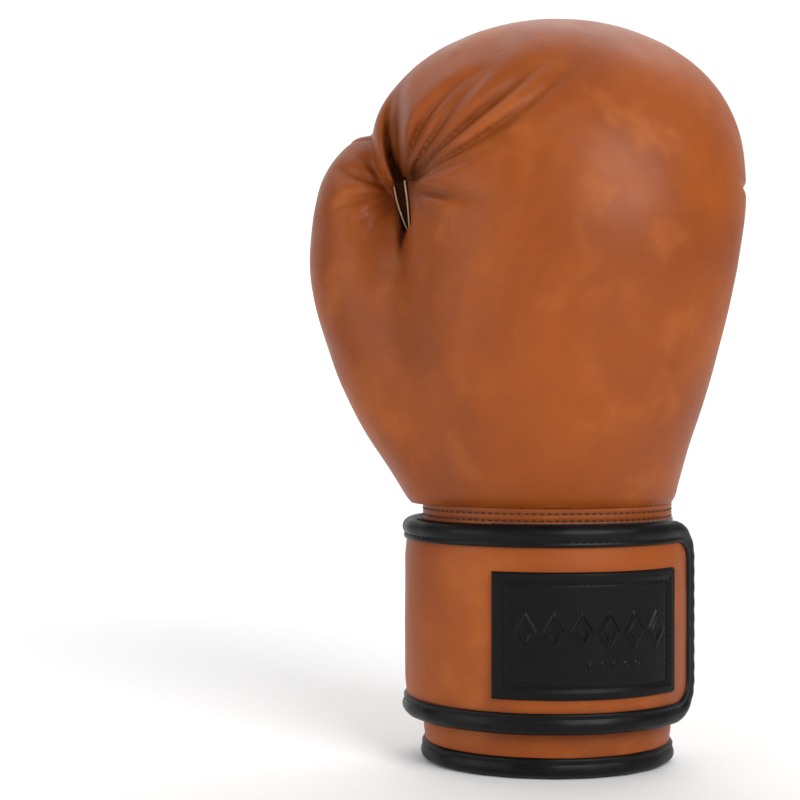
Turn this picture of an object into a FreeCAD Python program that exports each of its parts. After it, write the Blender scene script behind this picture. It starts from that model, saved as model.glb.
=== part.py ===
"""Boxing glove for the right hand, standing on its cuff.

Frame: millimetres, +Z up along the forearm, +X to the little finger, -X to the thumb, -Y to the
back of the hand and +Y to the palm.  The origin is the centre of the cuff's mouth, on the plane
that the hem stands on.

The padded fist is a set of nested closed forms.  Each one is a loft through ellipses: level ones
up the wrist and palm, then a fan of tilted ones that turns about the palm crease, over the
knuckles and down to the finger roll.  A form lies at a share of the way from the hand space
(share 0) to the outside of the leather (share 1), so the layers never cross.
"""
import FreeCAD, Part
import Sketcher
import math
import os

DOC = FreeCAD.newDocument("boxing_glove")
SHEET = DOC.addObject("Spreadsheet::Sheet", "sizes")
EXPORTED = []
ROW = [1]


# ---------------------------------------------------------------- driving dimensions
def cell(alias, value):
    """One plain number of the sheet, with its alias."""
    address = "B%d" % ROW[0]
    SHEET.set("A%d" % ROW[0], alias)
    SHEET.set(address, repr(value))
    SHEET.setAlias(address, alias)
    ROW[0] += 1


SIZES = {
    # layers of the fist
    "leather": 1.1, "layer_gap": 0.15, "lining": 0.8, "crease_y": 36.0, "crease_z": 197.0,
    # cuff
    "cuff_rx": 49.5, "cuff_ry": 39.5, "cuff_top": 104.0, "cuff_foam": 7.0, "hem_height": 8.0,
    "hem_proud": 1.3, "band_base": 98.6, "band_thick": 1.0, "panel_gap": 0.3,
    # slit in the palm side of the cuff
    "slit_x": 7.5, "slit_half": 5.5, "slit_top": 143.0, "slit_trim": 4.0,
    # palm side of the fist
    "parting_y": 18.0, "parting_top": 193.0,
    "arch_x": 7.5, "arch_half": 25.5, "arch_top": 162.0, "arch_thick": 1.0,
    # thumb
    "thumb_gap": 1.6, "thumb_foam": 9.5, "thumb_split_y": 30.0, "thumb_way": 12.0,
    # grip bar
    "bar_x": 4.0, "bar_y": 13.4, "bar_z": 205.0, "bar_radius": 7.0, "bar_sleeve": 1.2,
    "bar_half": 37.0,
    # leather tether, sewn flat between the thumb and the fist
    "tether_near": 0.2, "tether_thick": 1.2, "tether_y": 2.0, "tether_z": 226.0,
    "tether_long": 20.0, "tether_wide": 18.0,
    # strap, each layer's height above the cuff's leather
    "strap_base": 18.0, "strap_top": 98.0, "trim_height": 9.0,
    "loop_lift": 0.1, "loop_thick": 1.4, "hook_lift": 1.9, "hook_thick": 1.0,
    "lining_lift": 3.0, "lining_thick": 0.6, "core_lift": 3.7, "core_thick": 3.0,
    "face_lift": 6.8, "face_thick": 1.1, "trim_lift": 2.95, "trim_thick": 5.85,
    "patch_lift": 8.0, "patch_thick": 1.6, "patch_height": 48.5, "patch_z": 56.0,
    "anchor_lift": 0.1, "anchor_thick": 2.8,
    "joint_gap": 0.6, "tab_corner": 17.0,
    # how far round the cuff each short piece runs, in the degrees used by STRAP_CUTS
    "end_trim_from": 341.5, "loop_from": 236.0, "loop_to": 357.0, "hook_from": 240.0,
    "hook_to": 340.0, "patch_from": 240.0, "patch_to": 328.4, "anchor_from": 61.0,
    "anchor_to": 65.0,
}

# where the strap is cut into stiff lengths, in degrees round the cuff from the little finger
# side (+X) towards the palm (+Y): the first length is sewn down, the last is the tab
STRAP_CUTS = [60.0, 68.5, 104.0, 143.0, 184.0, 227.0, 351.0]
TAB = len(STRAP_CUTS) - 2

# level sections of the fist, from the wrist to the palm crease:
# height, then (back, palm, middle x, half width) of the leather and of the hand space
LEVELS = [
    (104.2, (-42.0, 40.0, 0.0, 50.5), (-31.3, 31.3, 0.0, 41.2)),
    (118.0, (-50.0, 38.5, 1.0, 54.0), (-28.0, 28.5, 0.0, 41.0)),
    (142.0, (-59.5, 36.8, 3.0, 57.5), (-24.5, 25.0, 1.5, 42.0)),
    (170.0, (-66.0, 35.2, 4.8, 62.7), (-21.5, 23.0, 3.0, 43.5)),
]
# tilted sections, which fan out from the crease:
# (angle, near, far, middle x, half width) of the leather and of the hand space
FAN = [
    ((0.0, 2.0, 106.0, 7.0, 66.0), (0.0, 14.0, 56.0, 4.0, 44.0)),
    ((16.0, 2.0, 108.5, 7.0, 69.0), (11.0, 14.5, 56.8, 4.0, 44.0)),
    ((32.0, 2.0, 111.5, 6.4, 71.6), (22.0, 15.0, 57.2, 4.0, 44.0)),
    ((48.0, 2.0, 113.0, 4.6, 74.4), (33.0, 15.5, 57.3, 4.0, 44.0)),
    ((64.0, 2.0, 111.5, 3.6, 75.4), (44.0, 16.0, 57.0, 4.0, 43.7)),
    ((80.0, 2.0, 105.5, 3.8, 74.8), (55.0, 16.0, 56.0, 4.0, 43.2)),
    ((96.0, 2.0, 94.5, 3.9, 73.7), (66.0, 16.0, 54.5, 4.0, 42.3)),
    ((112.0, 2.0, 80.0, 4.0, 72.0), (77.0, 16.0, 52.3, 4.0, 41.0)),
    ((128.0, 2.0, 65.0, 4.0, 69.5), (88.0, 16.2, 49.5, 4.0, 39.0)),
    ((144.0, 2.3, 51.0, 4.0, 66.0), (99.0, 16.8, 46.0, 4.0, 36.0)),
    ((160.0, 3.0, 39.0, 4.0, 61.5), (110.0, 17.8, 41.5, 4.0, 31.5)),
    ((175.0, 4.5, 29.5, 4.0, 55.0), (119.0, 19.5, 37.5, 4.0, 26.0)),
    ((188.0, 8.0, 20.5, 4.0, 43.0), (126.0, 22.5, 32.5, 4.0, 18.0)),
]
# a form turns through more than half a circle, so it is lofted in four runs of these sections
RUNS = [(0, 10), (10, 12), (12, 14), (14, 16)]
# level sections of the thumb: height, middle x, middle y, half width, half depth
THUMB = [
    (106.0, -45.0, 6.0, 10.0, 24.0),
    (116.0, -49.5, 7.5, 13.5, 26.5),
    (130.0, -55.5, 9.5, 17.0, 29.0),
    (148.0, -62.0, 12.0, 20.0, 31.0),
    (166.0, -67.0, 14.5, 22.0, 32.3),
    (184.0, -71.0, 17.0, 23.5, 33.0),
    (200.0, -73.0, 19.0, 24.0, 32.7),
    (214.0, -73.5, 20.5, 23.3, 31.3),
    (226.0, -73.3, 21.8, 21.5, 28.8),
    (236.0, -72.8, 22.6, 18.5, 24.8),
    (243.5, -72.0, 23.2, 14.5, 19.5),
    (248.5, -71.2, 23.6, 10.0, 13.5),
    (252.0, -70.5, 24.0, 4.5, 6.5),
]

for alias, number in SIZES.items():
    cell(alias, number)
for k, angle in enumerate(STRAP_CUTS):
    cell("cut_%d" % k, angle)
for k, (height, leather, space) in enumerate(LEVELS):
    cell("level%d_z" % k, height)
    for word, pair in zip(("back", "palm", "mid", "half"), zip(leather, space)):
        cell("level%d_%s_leather" % (k, word), pair[0])
        cell("level%d_%s_space" % (k, word), pair[1])
for k, (leather, space) in enumerate(FAN):
    for word, pair in zip(("angle", "near", "far", "mid", "half"), zip(leather, space)):
        cell("fan%d_%s_leather" % (k, word), pair[0])
        cell("fan%d_%s_space" % (k, word), pair[1])
for k, row in enumerate(THUMB):
    for word, number in zip(("z", "mid_x", "mid_y", "half_x", "half_y"), row):
        cell("thumb%d_%s" % (k, word), number)
DOC.recompute()


# ---------------------------------------------------------------- small makers
def bind(thing, **formulas):
    """Sets expressions; a double underscore stands for a dot, as in Placement__Base__x."""
    for path, formula in formulas.items():
        thing.setExpression(path.replace("__", "."), formula)
    return thing


def size(alias):
    return "sizes.%s" % alias


def keep(thing, label):
    """Marks a finished sub-part: its label names its file."""
    thing.Label = label
    EXPORTED.append(thing)
    return thing


def cut(base, tool, name="cut"):
    made = DOC.addObject("Part::Cut", name)
    made.Base, made.Tool, made.Refine = base, tool, False
    return made


def common(base, tool, name="common"):
    made = DOC.addObject("Part::Common", name)
    made.Base, made.Tool, made.Refine = base, tool, False
    return made


def cut_all(base, tools):
    for tool in tools:
        base = cut(base, tool)
    return base


def box(name, low, high):
    """A block between two corners, each given as three formulas."""
    made = DOC.addObject("Part::Box", name)
    bind(made, Length="(%s) - (%s)" % (high[0], low[0]), Width="(%s) - (%s)" % (high[1], low[1]),
         Height="(%s) - (%s)" % (high[2], low[2]), Placement__Base__x=low[0],
         Placement__Base__y=low[1], Placement__Base__z=low[2])
    return made


def loft(name, sections):
    made = DOC.addObject("Part::Loft", name)
    made.Sections, made.Solid, made.Ruled = sections, True, True
    return made


# ---------------------------------------------------------------- forms of the fist
def between(kind, k, word, share):
    """Formula for a dimension at a share of the way from the hand space to the leather."""
    space = size("%s%d_%s_space" % (kind, k, word))
    leather = size("%s%d_%s_leather" % (kind, k, word))
    return "(%s + (%s - %s) * %s)" % (space, leather, space, share)


def fist_ellipse(name, near, far, middle, half, inset, tilt, origin_y, origin_z, sense):
    """One ellipse of a fist form, tilted about X; near and far lie along its thickness."""
    made = DOC.addObject("Part::Ellipse", name)
    centre = "((%s) + (%s)) / 2" % (near, far)
    made.Placement.Rotation = FreeCAD.Rotation(FreeCAD.Vector(1, 0, 0), 0)
    bind(made, MajorRadius="%s - %s" % (half, inset),
         MinorRadius="((%s) - (%s)) * %d / 2 - %s" % (far, near, sense, inset),
         Placement__Base__x=middle,
         Placement__Base__y="%s - (%s) * cos(%s)" % (origin_y, centre, tilt),
         Placement__Base__z="%s + (%s) * sin(%s)" % (origin_z, centre, tilt),
         Placement__Rotation__Angle="0 - (%s)" % tilt)
    made.setExpression("Placement.Rotation.Axis.x", "1")
    made.setExpression("Placement.Rotation.Axis.y", "0")
    made.setExpression("Placement.Rotation.Axis.z", "0")
    return made


def fist_form(name, share, inset):
    """The closed form at a share between hand space and leather, taken in by an inset."""
    sections = []
    for k in range(len(LEVELS)):
        back, palm = between("level", k, "back", share), between("level", k, "palm", share)
        made = DOC.addObject("Part::Ellipse", "%s_level%d" % (name, k))
        bind(made, MajorRadius="%s - %s" % (between("level", k, "half", share), inset),
             MinorRadius="(%s - %s) / 2 - %s" % (palm, back, inset),
             Placement__Base__x=between("level", k, "mid", share),
             Placement__Base__y="(%s + %s) / 2" % (palm, back),
             Placement__Base__z=size("level%d_z" % k))
        sections.append(made)
    for k in range(len(FAN)):
        sections.append(fist_ellipse(
            "%s_fan%d" % (name, k), between("fan", k, "near", share),
            between("fan", k, "far", share), between("fan", k, "mid", share),
            between("fan", k, "half", share), inset, between("fan", k, "angle", share),
            size("crease_y"), size("crease_z"), 1))
    made = DOC.addObject("Part::MultiFuse", name)
    made.Refine = False
    made.Shapes = [loft("%s_run%d" % (name, first), sections[first:last + 1])
                   for first, last in RUNS]
    return made


GAP = size("layer_gap")
LEATHER = size("leather")
outside = fist_form("fist_outside", "1", "0")
leather_inside = fist_form("fist_leather_inside", "1", LEATHER)
foam_outside = fist_form("fist_foam_outside", "1", "(%s + %s)" % (LEATHER, GAP))
outer_core = fist_form("fist_outer_core", "0.66", "0")
core_outside = fist_form("fist_core_outside", "0.66", GAP)
core_inner = fist_form("fist_core_inner", "0.33", "0")
inner_outside = fist_form("fist_inner_outside", "0.33", GAP)
space_wall = fist_form("fist_space_wall", "0", "(0 - %s)" % GAP)
space = fist_form("fist_space", "0", "0")
space_inside = fist_form("fist_space_inside", "0", size("lining"))
thumb_room = fist_form("fist_thumb_room", "1", "(0 - %s)" % size("thumb_gap"))

# what crosses the layers: the parting along the palm, the slit, the way to the thumb, the bar
far = "200"
palm_side = box("palm_side", ("-%s" % far, size("parting_y"), "90"),
                (far, "120", size("parting_top")))
palm_side_in = box("palm_side_in", ("-%s" % far, size("parting_y") + " + " + size("panel_gap"),
                                    "90"),
                   (far, "120", size("parting_top") + " - " + size("panel_gap")))


def slit_tool(name, grow):
    """The slit with its round top, widened on every side by grow."""
    half = "(%s + %s)" % (size("slit_half"), grow)
    straight = box(name + "_straight",
                   ("%s - %s" % (size("slit_x"), half), "0", "-5"),
                   ("%s + %s" % (size("slit_x"), half), "120",
                    "%s - %s" % (size("slit_top"), size("slit_half"))))
    round_top = DOC.addObject("Part::Cylinder", name + "_top")
    round_top.Placement.Rotation = FreeCAD.Rotation(FreeCAD.Vector(1, 0, 0), -90)
    bind(round_top, Radius=half, Height="120", Placement__Base__x=size("slit_x"),
         Placement__Base__z="%s - %s" % (size("slit_top"), size("slit_half")))
    made = DOC.addObject("Part::Fuse", name)
    made.Base, made.Tool = straight, round_top
    return made


slit = slit_tool("slit", "0")
slit_trimmed = slit_tool("slit_trimmed", size("slit_trim"))
slit_seat = slit_tool("slit_seat", "(%s + 0.2)" % size("slit_trim"))

thumb_way = DOC.addObject("Part::Cylinder", "thumb_way")
WAY_FROM, WAY_TO = FreeCAD.Vector(-22, 3, 124), FreeCAD.Vector(-69, 15, 184)
thumb_way.Placement = FreeCAD.Placement(
    WAY_FROM, FreeCAD.Rotation(FreeCAD.Vector(0, 0, 1), WAY_TO - WAY_FROM))
bind(thumb_way, Radius=size("thumb_way"), Height=str((WAY_TO - WAY_FROM).Length))


def bar_form(name, radius, half):
    made = DOC.addObject("Part::Cylinder", name)
    made.Placement.Rotation = FreeCAD.Rotation(FreeCAD.Vector(0, 1, 0), 90)
    bind(made, Radius=radius, Height="2 * (%s)" % half,
         Placement__Base__x="%s - (%s)" % (size("fan0_mid_space"), half),
         Placement__Base__y=size("bar_y"), Placement__Base__z=size("bar_z"))
    return made


bar_seat = bar_form("bar_seat", size("bar_radius") + " + 0.15", size("bar_half") + " + 0.2")


# ---------------------------------------------------------------- bodies padded from a sketch
def plane_of(body, role):
    for feature in body.Origin.OriginFeatures:
        if feature.Role == role:
            return feature
    raise RuntimeError("no plane %s" % role)


def sketch_on(body, role, name):
    sketch = body.newObject("Sketcher::SketchObject", name)
    sketch.AttachmentSupport = [(plane_of(body, role), "")]
    sketch.MapMode = "FlatFace"
    return sketch


def circle_in(sketch, radius):
    """A circle round the sketch's own origin, its radius bound to a formula."""
    index = sketch.addGeometry(Part.Circle(FreeCAD.Vector(0, 0, 0), FreeCAD.Vector(0, 0, 1), 5.0))
    sketch.addConstraint(Sketcher.Constraint("Coincident", index, 3, -1, 1))
    sketch.addConstraint(Sketcher.Constraint("Radius", index, 5.0))
    sketch.setExpression("Constraints[%d]" % (sketch.ConstraintCount - 1), radius)


def rod_body(name, radius, bore):
    """The rod across the hand space, or with a bore its tube: a ring padded along X."""
    body = DOC.addObject("PartDesign::Body", name)
    sketch = sketch_on(body, "YZ_Plane", name + "_section")
    circle_in(sketch, radius)
    if bore:
        circle_in(sketch, bore)
    pad = body.newObject("PartDesign::Pad", name + "_pad")
    pad.Profile = sketch
    pad.Midplane = True
    bind(pad, Length="2 * %s" % size("bar_half"))
    bind(body, Placement__Base__x=size("bar_x"), Placement__Base__y=size("bar_y"),
         Placement__Base__z=size("bar_z"))
    return body


# ---------------------------------------------------------------- fist sub-parts
def build_fist():
    skin = cut(outside, leather_inside, "fist_skin")
    keep(cut_all(skin, [palm_side, thumb_way]), "back_shell")
    keep(cut_all(common(skin, palm_side_in), [slit_seat, thumb_way]), "palm_panel")
    keep(cut_all(foam_outside, [outer_core, palm_side, thumb_way, bar_seat]),
         "impact_foam_outer")
    keep(cut_all(core_outside, [core_inner, palm_side, thumb_way, bar_seat]),
         "impact_foam_core")
    keep(cut_all(inner_outside, [space_wall, palm_side, thumb_way, bar_seat]),
         "impact_foam_inner")
    palm_block = common(cut(foam_outside, space_wall), palm_side_in)
    keep(cut_all(palm_block, [slit_seat, thumb_way]), "palm_pad")
    keep(cut_all(space, [space_inside, slit_seat, thumb_way, bar_seat]), "hand_lining")
    bore = "%s - %s" % (size("bar_radius"), size("bar_sleeve"))
    keep(rod_body("grip_bar_sleeve_body", size("bar_radius"), bore), "grip_bar_sleeve")
    keep(rod_body("grip_bar_core_body", bore + " - 0.1", None), "grip_bar_core")


def build_arch():
    """The U-shaped leather facing round the slit, laid on the palm panel."""
    grown = fist_form("fist_arch_outside", "1", "(0 - 0.15 - %s)" % size("arch_thick"))
    under = fist_form("fist_arch_under", "1", "(0 - 0.15)")
    sheet_block = box("arch_block",
                      ("%s - %s" % (size("arch_x"), size("arch_half")), "5", "108"),
                      ("%s + %s" % (size("arch_x"), size("arch_half")), "120",
                       "%s - %s" % (size("arch_top"), size("arch_half"))))
    round_top = DOC.addObject("Part::Cylinder", "arch_round")
    round_top.Placement.Rotation = FreeCAD.Rotation(FreeCAD.Vector(1, 0, 0), -90)
    bind(round_top, Radius=size("arch_half"), Height="120", Placement__Base__x=size("arch_x"),
         Placement__Base__y="5",
         Placement__Base__z="%s - %s" % (size("arch_top"), size("arch_half")))
    outline = DOC.addObject("Part::Fuse", "arch_outline")
    outline.Base, outline.Tool = sheet_block, round_top
    keep(cut(common(cut(grown, under), outline), slit_seat), "palm_arch_facing")


# ---------------------------------------------------------------- thumb
def thumb_form(name, inset_x, inset_y, lift=0):
    """Loft through the thumb's level ellipses; the longer radius lies along Y."""
    sections = []
    for k in range(len(THUMB)):
        made = DOC.addObject("Part::Ellipse", "%s_%d" % (name, k))
        made.Placement.Rotation = FreeCAD.Rotation(FreeCAD.Vector(0, 0, 1), 90)
        end = "(%s)" % lift if k in (0, len(THUMB) - 1) else "0"
        sense = -1 if k else 1
        bind(made, MajorRadius="%s - %s" % (size("thumb%d_half_y" % k), inset_y),
             MinorRadius="%s - %s" % (size("thumb%d_half_x" % k), inset_x),
             Placement__Base__x=size("thumb%d_mid_x" % k),
             Placement__Base__y=size("thumb%d_mid_y" % k),
             Placement__Base__z="%s + %d * %s" % (size("thumb%d_z" % k), sense, end))
        sections.append(made)
    return loft(name, sections)


def stall_form(name, grow):
    """The thumb's own hollow: a tapered stall inside its foam."""
    sections = []
    for height, x, y, half in ((150, -63.5, 14, 12), (190, -72.5, 18, 12.5), (216, -74, 20.5, 11),
                               (230, -73.5, 22, 7)):
        made = DOC.addObject("Part::Circle", name + "_ring")
        made.Placement.Base = FreeCAD.Vector(x, y, height + (grow if height == 230 else 0))
        made.Radius = half + grow
        sections.append(made)
    return loft(name, sections)


def build_thumb():
    body = thumb_form("thumb_outside", "0", "0")
    inside = thumb_form("thumb_inside", LEATHER, LEATHER, LEATHER)
    filling = thumb_form("thumb_filling", "(%s + %s)" % (LEATHER, GAP),
                         "(%s + %s)" % (LEATHER, GAP), "(%s + %s)" % (LEATHER, GAP))
    front = box("thumb_front", ("-150", size("thumb_split_y"), "90"), ("0", "120", "300"))
    front_in = box("thumb_front_in",
                   ("-150", size("thumb_split_y") + " + " + size("panel_gap"), "90"),
                   ("0", "120", "300"))
    keep(cut_all(body, [front, thumb_room, inside, thumb_way]), "thumb_back_panel")
    keep(cut_all(common(body, front_in), [thumb_room, inside]), "thumb_inner_panel")
    padding = cut(filling, thumb_room, "thumb_padding")
    keep(cut_all(padding, [thumb_way, stall_form("stall_room", 0.95)]), "thumb_pad")
    stall = cut(stall_form("stall_outside", 0.8), stall_form("stall_inside", 0.0))
    keep(cut_all(stall, [thumb_room, thumb_way]), "thumb_lining")
    near = fist_form("fist_tether_near", "1", "(0 - %s)" % size("tether_near"))
    away = fist_form("fist_tether_away", "1",
                     "(0 - %s - %s)" % (size("tether_near"), size("tether_thick")))
    strip = box("tether_strip", ("-100", "%s - %s / 2" % (size("tether_y"), size("tether_wide")),
                                 "%s - %s / 2" % (size("tether_z"), size("tether_long"))),
                ("-40", "%s + %s / 2" % (size("tether_y"), size("tether_wide")),
                 "%s + %s / 2" % (size("tether_z"), size("tether_long"))))
    keep(common(strip, cut(away, near)), "thumb_tether")


# ---------------------------------------------------------------- cuff
def tube_form(name, rise, base, top):
    """An upright elliptical cylinder that stands rise outside the cuff's leather."""
    ring = DOC.addObject("Part::Ellipse", name + "_ring")
    bind(ring, MajorRadius="%s + (%s)" % (size("cuff_rx"), rise),
         MinorRadius="%s + (%s)" % (size("cuff_ry"), rise), Placement__Base__z=base)
    made = DOC.addObject("Part::Extrusion", name)
    made.Base, made.DirMode, made.Dir, made.Solid = ring, "Custom", FreeCAD.Vector(0, 0, 1), True
    bind(made, LengthFwd="(%s) - (%s)" % (top, base))
    return made


def tube_wall(name, inner_rise, thick, base, top):
    outer = tube_form(name + "_out", "(%s) + (%s)" % (inner_rise, thick), base, top)
    inner = tube_form(name + "_in", inner_rise, "(%s) - 1" % base, "(%s) + 1" % top)
    return cut(outer, inner, name)


def build_cuff():
    gap = size("panel_gap")
    back_half = box("back_half", ("-%s" % far, "-120", "-5"), (far, "0 - %s / 2" % gap, "200"))
    palm_half = box("palm_half", ("-%s" % far, "%s / 2" % gap, "-5"), (far, "120", "200"))
    thumb_part = box("thumb_part", ("-%s" % far, "%s / 2" % gap, "-5"),
                     (size("slit_x"), "120", "200"))
    finger_part = box("finger_part", (size("slit_x"), "%s / 2" % gap, "-5"), (far, "120", "200"))
    above_hem = size("hem_height") + " + 0.1"
    top = size("cuff_top")

    skin = tube_wall("cuff_skin", "0 - %s" % LEATHER, LEATHER, above_hem, top)
    keep(common(skin, back_half), "cuff_back_panel")
    keep(cut(common(skin, thumb_part), slit_seat), "cuff_thumb_side_panel")
    keep(cut(common(skin, finger_part), slit_seat), "cuff_finger_side_panel")

    foam_in = "0 - %s - 0.1 - %s" % (LEATHER, size("cuff_foam"))
    foam = tube_wall("cuff_foam_ring", foam_in, size("cuff_foam"), above_hem, top)
    keep(common(foam, back_half), "cuff_foam_back")
    keep(cut(common(foam, thumb_part), slit_seat), "cuff_foam_thumb_side")
    keep(cut(common(foam, finger_part), slit_seat), "cuff_foam_finger_side")

    lining_in = "%s - 0.1 - %s" % (foam_in, size("lining"))
    lining = tube_wall("cuff_lining_ring", lining_in, size("lining"), above_hem, top)
    keep(cut(lining, slit_seat), "cuff_lining")

    hem_in = "%s - 0.8" % lining_in
    hem = tube_wall("hem_ring", hem_in, "%s - (%s)" % (size("hem_proud"), hem_in), "0",
                    size("hem_height"))
    keep(cut(hem, slit_seat), "hem_binding")
    keep(cut(tube_wall("band", "0.1", size("band_thick"), size("band_base"), top), slit_seat),
         "wrist_band")


def build_slit_binding():
    """The edging of the slit, laid across the layers and a little proud of them."""
    rim = cut(slit_trimmed, slit, "slit_rim")
    top = size("slit_top")
    proud = fist_form("fist_slit_proud", "1", "(0 - 1.6)")
    hollow = fist_form("fist_slit_hollow", "0", "(%s + 0.8)" % size("lining"))
    keep(common(rim, cut(proud, hollow)), "slit_binding")
    wall = tube_wall("slit_low_wall", "0 - 11", "12.2", size("hem_height") + " + 0.2",
                     size("cuff_top") + " - 0.1")
    keep(common(rim, wall), "slit_binding_low")


# ---------------------------------------------------------------- strap
def sector(name, start, end, trim):
    """A wedge round Z between two of the strap's cuts, kept clear of each by half the gap."""
    reach = 120.0
    made = DOC.addObject("Part::Cylinder", name)
    made.Radius, made.Height = reach, 240.0
    made.Placement.Base = FreeCAD.Vector(0, 0, -20)
    clear = math.degrees(trim / 2 / 55.0)
    bind(made, Angle="%s - %s - %f" % (size(end), size(start), 2 * clear))
    made.setExpression("Placement.Rotation.Axis.x", "0")
    made.setExpression("Placement.Rotation.Axis.y", "0")
    made.setExpression("Placement.Rotation.Axis.z", "1")
    made.setExpression("Placement.Rotation.Angle", "%s + %f" % (size(start), clear))
    return made


def strap_layer(name, word, base, top, wedge):
    wall = tube_wall(name + "_wall", size(word + "_lift"), size(word + "_thick"), base, top)
    return common(wall, wedge)


def corner_tool(name, base, sense):
    """What is cut away to round one corner of the tab: a square block less a round one.

    The block's X runs round the cuff and its Y out of it, turned to the tab's end."""
    radius = size("tab_corner")
    end = math.radians(STRAP_CUTS[-1])
    rise = SIZES["trim_lift"] + SIZES["trim_thick"]
    span_x, span_y = SIZES["cuff_rx"] + rise, SIZES["cuff_ry"] + rise
    reach = 1.0 / math.hypot(math.cos(end) / span_x, math.sin(end) / span_y)
    spot = FreeCAD.Vector(reach * math.cos(end), reach * math.sin(end), 0)
    across = FreeCAD.Vector(-spot.y / span_y ** 2, spot.x / span_x ** 2, 0)
    turn = FreeCAD.Rotation(FreeCAD.Vector(1, 0, 0), across)
    centre = "%s + %d * %s" % (base, sense, radius)
    square = DOC.addObject("Part::Box", name + "_square")
    square.Length, square.Width = 60.0, 60.0
    square.Placement.Rotation = turn
    corner = spot + turn.multVec(FreeCAD.Vector(-SIZES["tab_corner"], -30, 0))
    square.Placement.Base = corner
    bind(square, Height=radius + " + 5",
         Placement__Base__z=centre + (" - %s - 5" % radius if sense > 0 else ""))
    round_part = DOC.addObject("Part::Cylinder", name + "_round")
    round_part.Placement.Rotation = turn.multiply(
        FreeCAD.Rotation(FreeCAD.Vector(1, 0, 0), -90))
    round_part.Placement.Base = corner
    bind(round_part, Radius=radius, Height="60", Placement__Base__z=centre)
    return cut(square, round_part, name)


def build_strap():
    """The strap's layers, cut at each bend into lengths, the last of which is the tab."""
    trim = size("trim_height")
    low, high = size("strap_base"), size("strap_top")
    inner_low, inner_high = "%s + %s + 0.1" % (low, trim), "%s - %s - 0.1" % (high, trim)
    gap = SIZES["joint_gap"]
    for k in range(TAB + 1):
        last = k == TAB
        word = "tab" if last else "root" if k == 0 else "length_%d" % k
        wedge = sector("strap_wedge_%d" % k, "cut_%d" % k, "cut_%d" % (k + 1), gap)
        inner = sector("tab_wedge", "cut_%d" % k, "end_trim_from", gap) if last else wedge
        for layer in ("lining", "core", "face"):
            made = strap_layer("%s_%d" % (layer, k), layer, inner_low, inner_high, inner)
            keep(made, "strap_%s_%s" % ("leather" if layer == "face" else layer, word))
        rails = [strap_layer("rail_low_%d" % k, "trim", low, "%s + %s" % (low, trim), wedge),
                 strap_layer("rail_high_%d" % k, "trim", "%s - %s" % (high, trim), high, wedge)]
        if last:
            closing = sector("end_wedge", "end_trim_from", "cut_%d" % (k + 1), 0.3)
            rails.append(strap_layer("rail_end", "trim", low, high, closing))
        edges = DOC.addObject("Part::MultiFuse", "strap_edges_%d" % k)
        edges.Shapes = rails
        if last:
            edges = cut_all(edges, [corner_tool("corner_low", low, 1),
                                    corner_tool("corner_high", high, -1)])
        keep(edges, "strap_binding_" + word)


def build_closure():
    """Loop tape on the cuff, hook tape and patch on the tab, and the pad under the root."""
    low, high = size("strap_base"), size("strap_top")
    loop = sector("loop_wedge", "loop_from", "loop_to", 0.0)
    keep(strap_layer("loop", "loop", "%s + 8" % low, high, loop), "loop_tape")
    hook = sector("hook_wedge", "hook_from", "hook_to", 0.0)
    keep(strap_layer("hook", "hook", "%s + 10" % low, "%s - 10" % high, hook), "hook_tape")
    patch = sector("patch_wedge", "patch_from", "patch_to", 0.0)
    keep(strap_layer("patch", "patch", "%s - %s / 2" % (size("patch_z"), size("patch_height")),
                     "%s + %s / 2" % (size("patch_z"), size("patch_height")), patch),
         "strap_patch")
    anchor = sector("anchor_wedge", "anchor_from", "anchor_to", 0.0)
    keep(strap_layer("anchor", "anchor", "%s + 2" % low, "%s - 2" % high, anchor),
         "strap_anchor_pad")


build_fist()
build_arch()
build_thumb()
build_cuff()
build_slit_binding()
build_strap()
build_closure()
DOC.recompute()


# ---------------------------------------------------------------- checks and export
def export_all():
    for thing in DOC.Objects:
        if "Invalid" in thing.State or "Error" in thing.State:
            raise RuntimeError("%s (%s) failed: %s" % (thing.Name, thing.Label, thing.State))
    os.makedirs("parts", exist_ok=True)
    for thing in EXPORTED:
        shape = thing.Shape
        if shape.isNull() or not shape.isValid() or not shape.Solids:
            raise RuntimeError("%s has no valid solid" % thing.Label)
    for thing in EXPORTED:
        shape = thing.Shape
        shape.exportStep("parts/%s.step" % thing.Label)
        print("%-26s solids %d  volume %10.1f mm3" % (thing.Label, len(shape.Solids),
                                                     shape.Volume))


export_all()
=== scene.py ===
import bpy
import bmesh
import math
import numpy as np
import openvdb
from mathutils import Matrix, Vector


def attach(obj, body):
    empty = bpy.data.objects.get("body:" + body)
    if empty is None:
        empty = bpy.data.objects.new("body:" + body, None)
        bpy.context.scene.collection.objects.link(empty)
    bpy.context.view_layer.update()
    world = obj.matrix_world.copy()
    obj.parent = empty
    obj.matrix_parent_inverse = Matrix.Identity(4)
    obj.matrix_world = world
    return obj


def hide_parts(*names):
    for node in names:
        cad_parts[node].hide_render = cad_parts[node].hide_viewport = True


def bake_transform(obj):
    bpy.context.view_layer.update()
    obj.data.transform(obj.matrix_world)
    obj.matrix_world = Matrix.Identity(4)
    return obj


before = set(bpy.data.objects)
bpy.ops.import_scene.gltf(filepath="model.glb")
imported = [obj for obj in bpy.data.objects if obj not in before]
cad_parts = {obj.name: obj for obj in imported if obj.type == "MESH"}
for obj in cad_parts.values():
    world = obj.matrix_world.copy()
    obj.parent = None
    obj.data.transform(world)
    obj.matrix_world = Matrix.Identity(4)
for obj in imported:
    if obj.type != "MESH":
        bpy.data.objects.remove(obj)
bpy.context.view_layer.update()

# %% [markdown]
# # A right-hand boxing glove, standing on its cuff
# The frame is the library's: +Z runs up the forearm, +X to the little finger, +Y out of the
# palm. The makers below work in millimetres and turn them into metres as they make the mesh.

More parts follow.
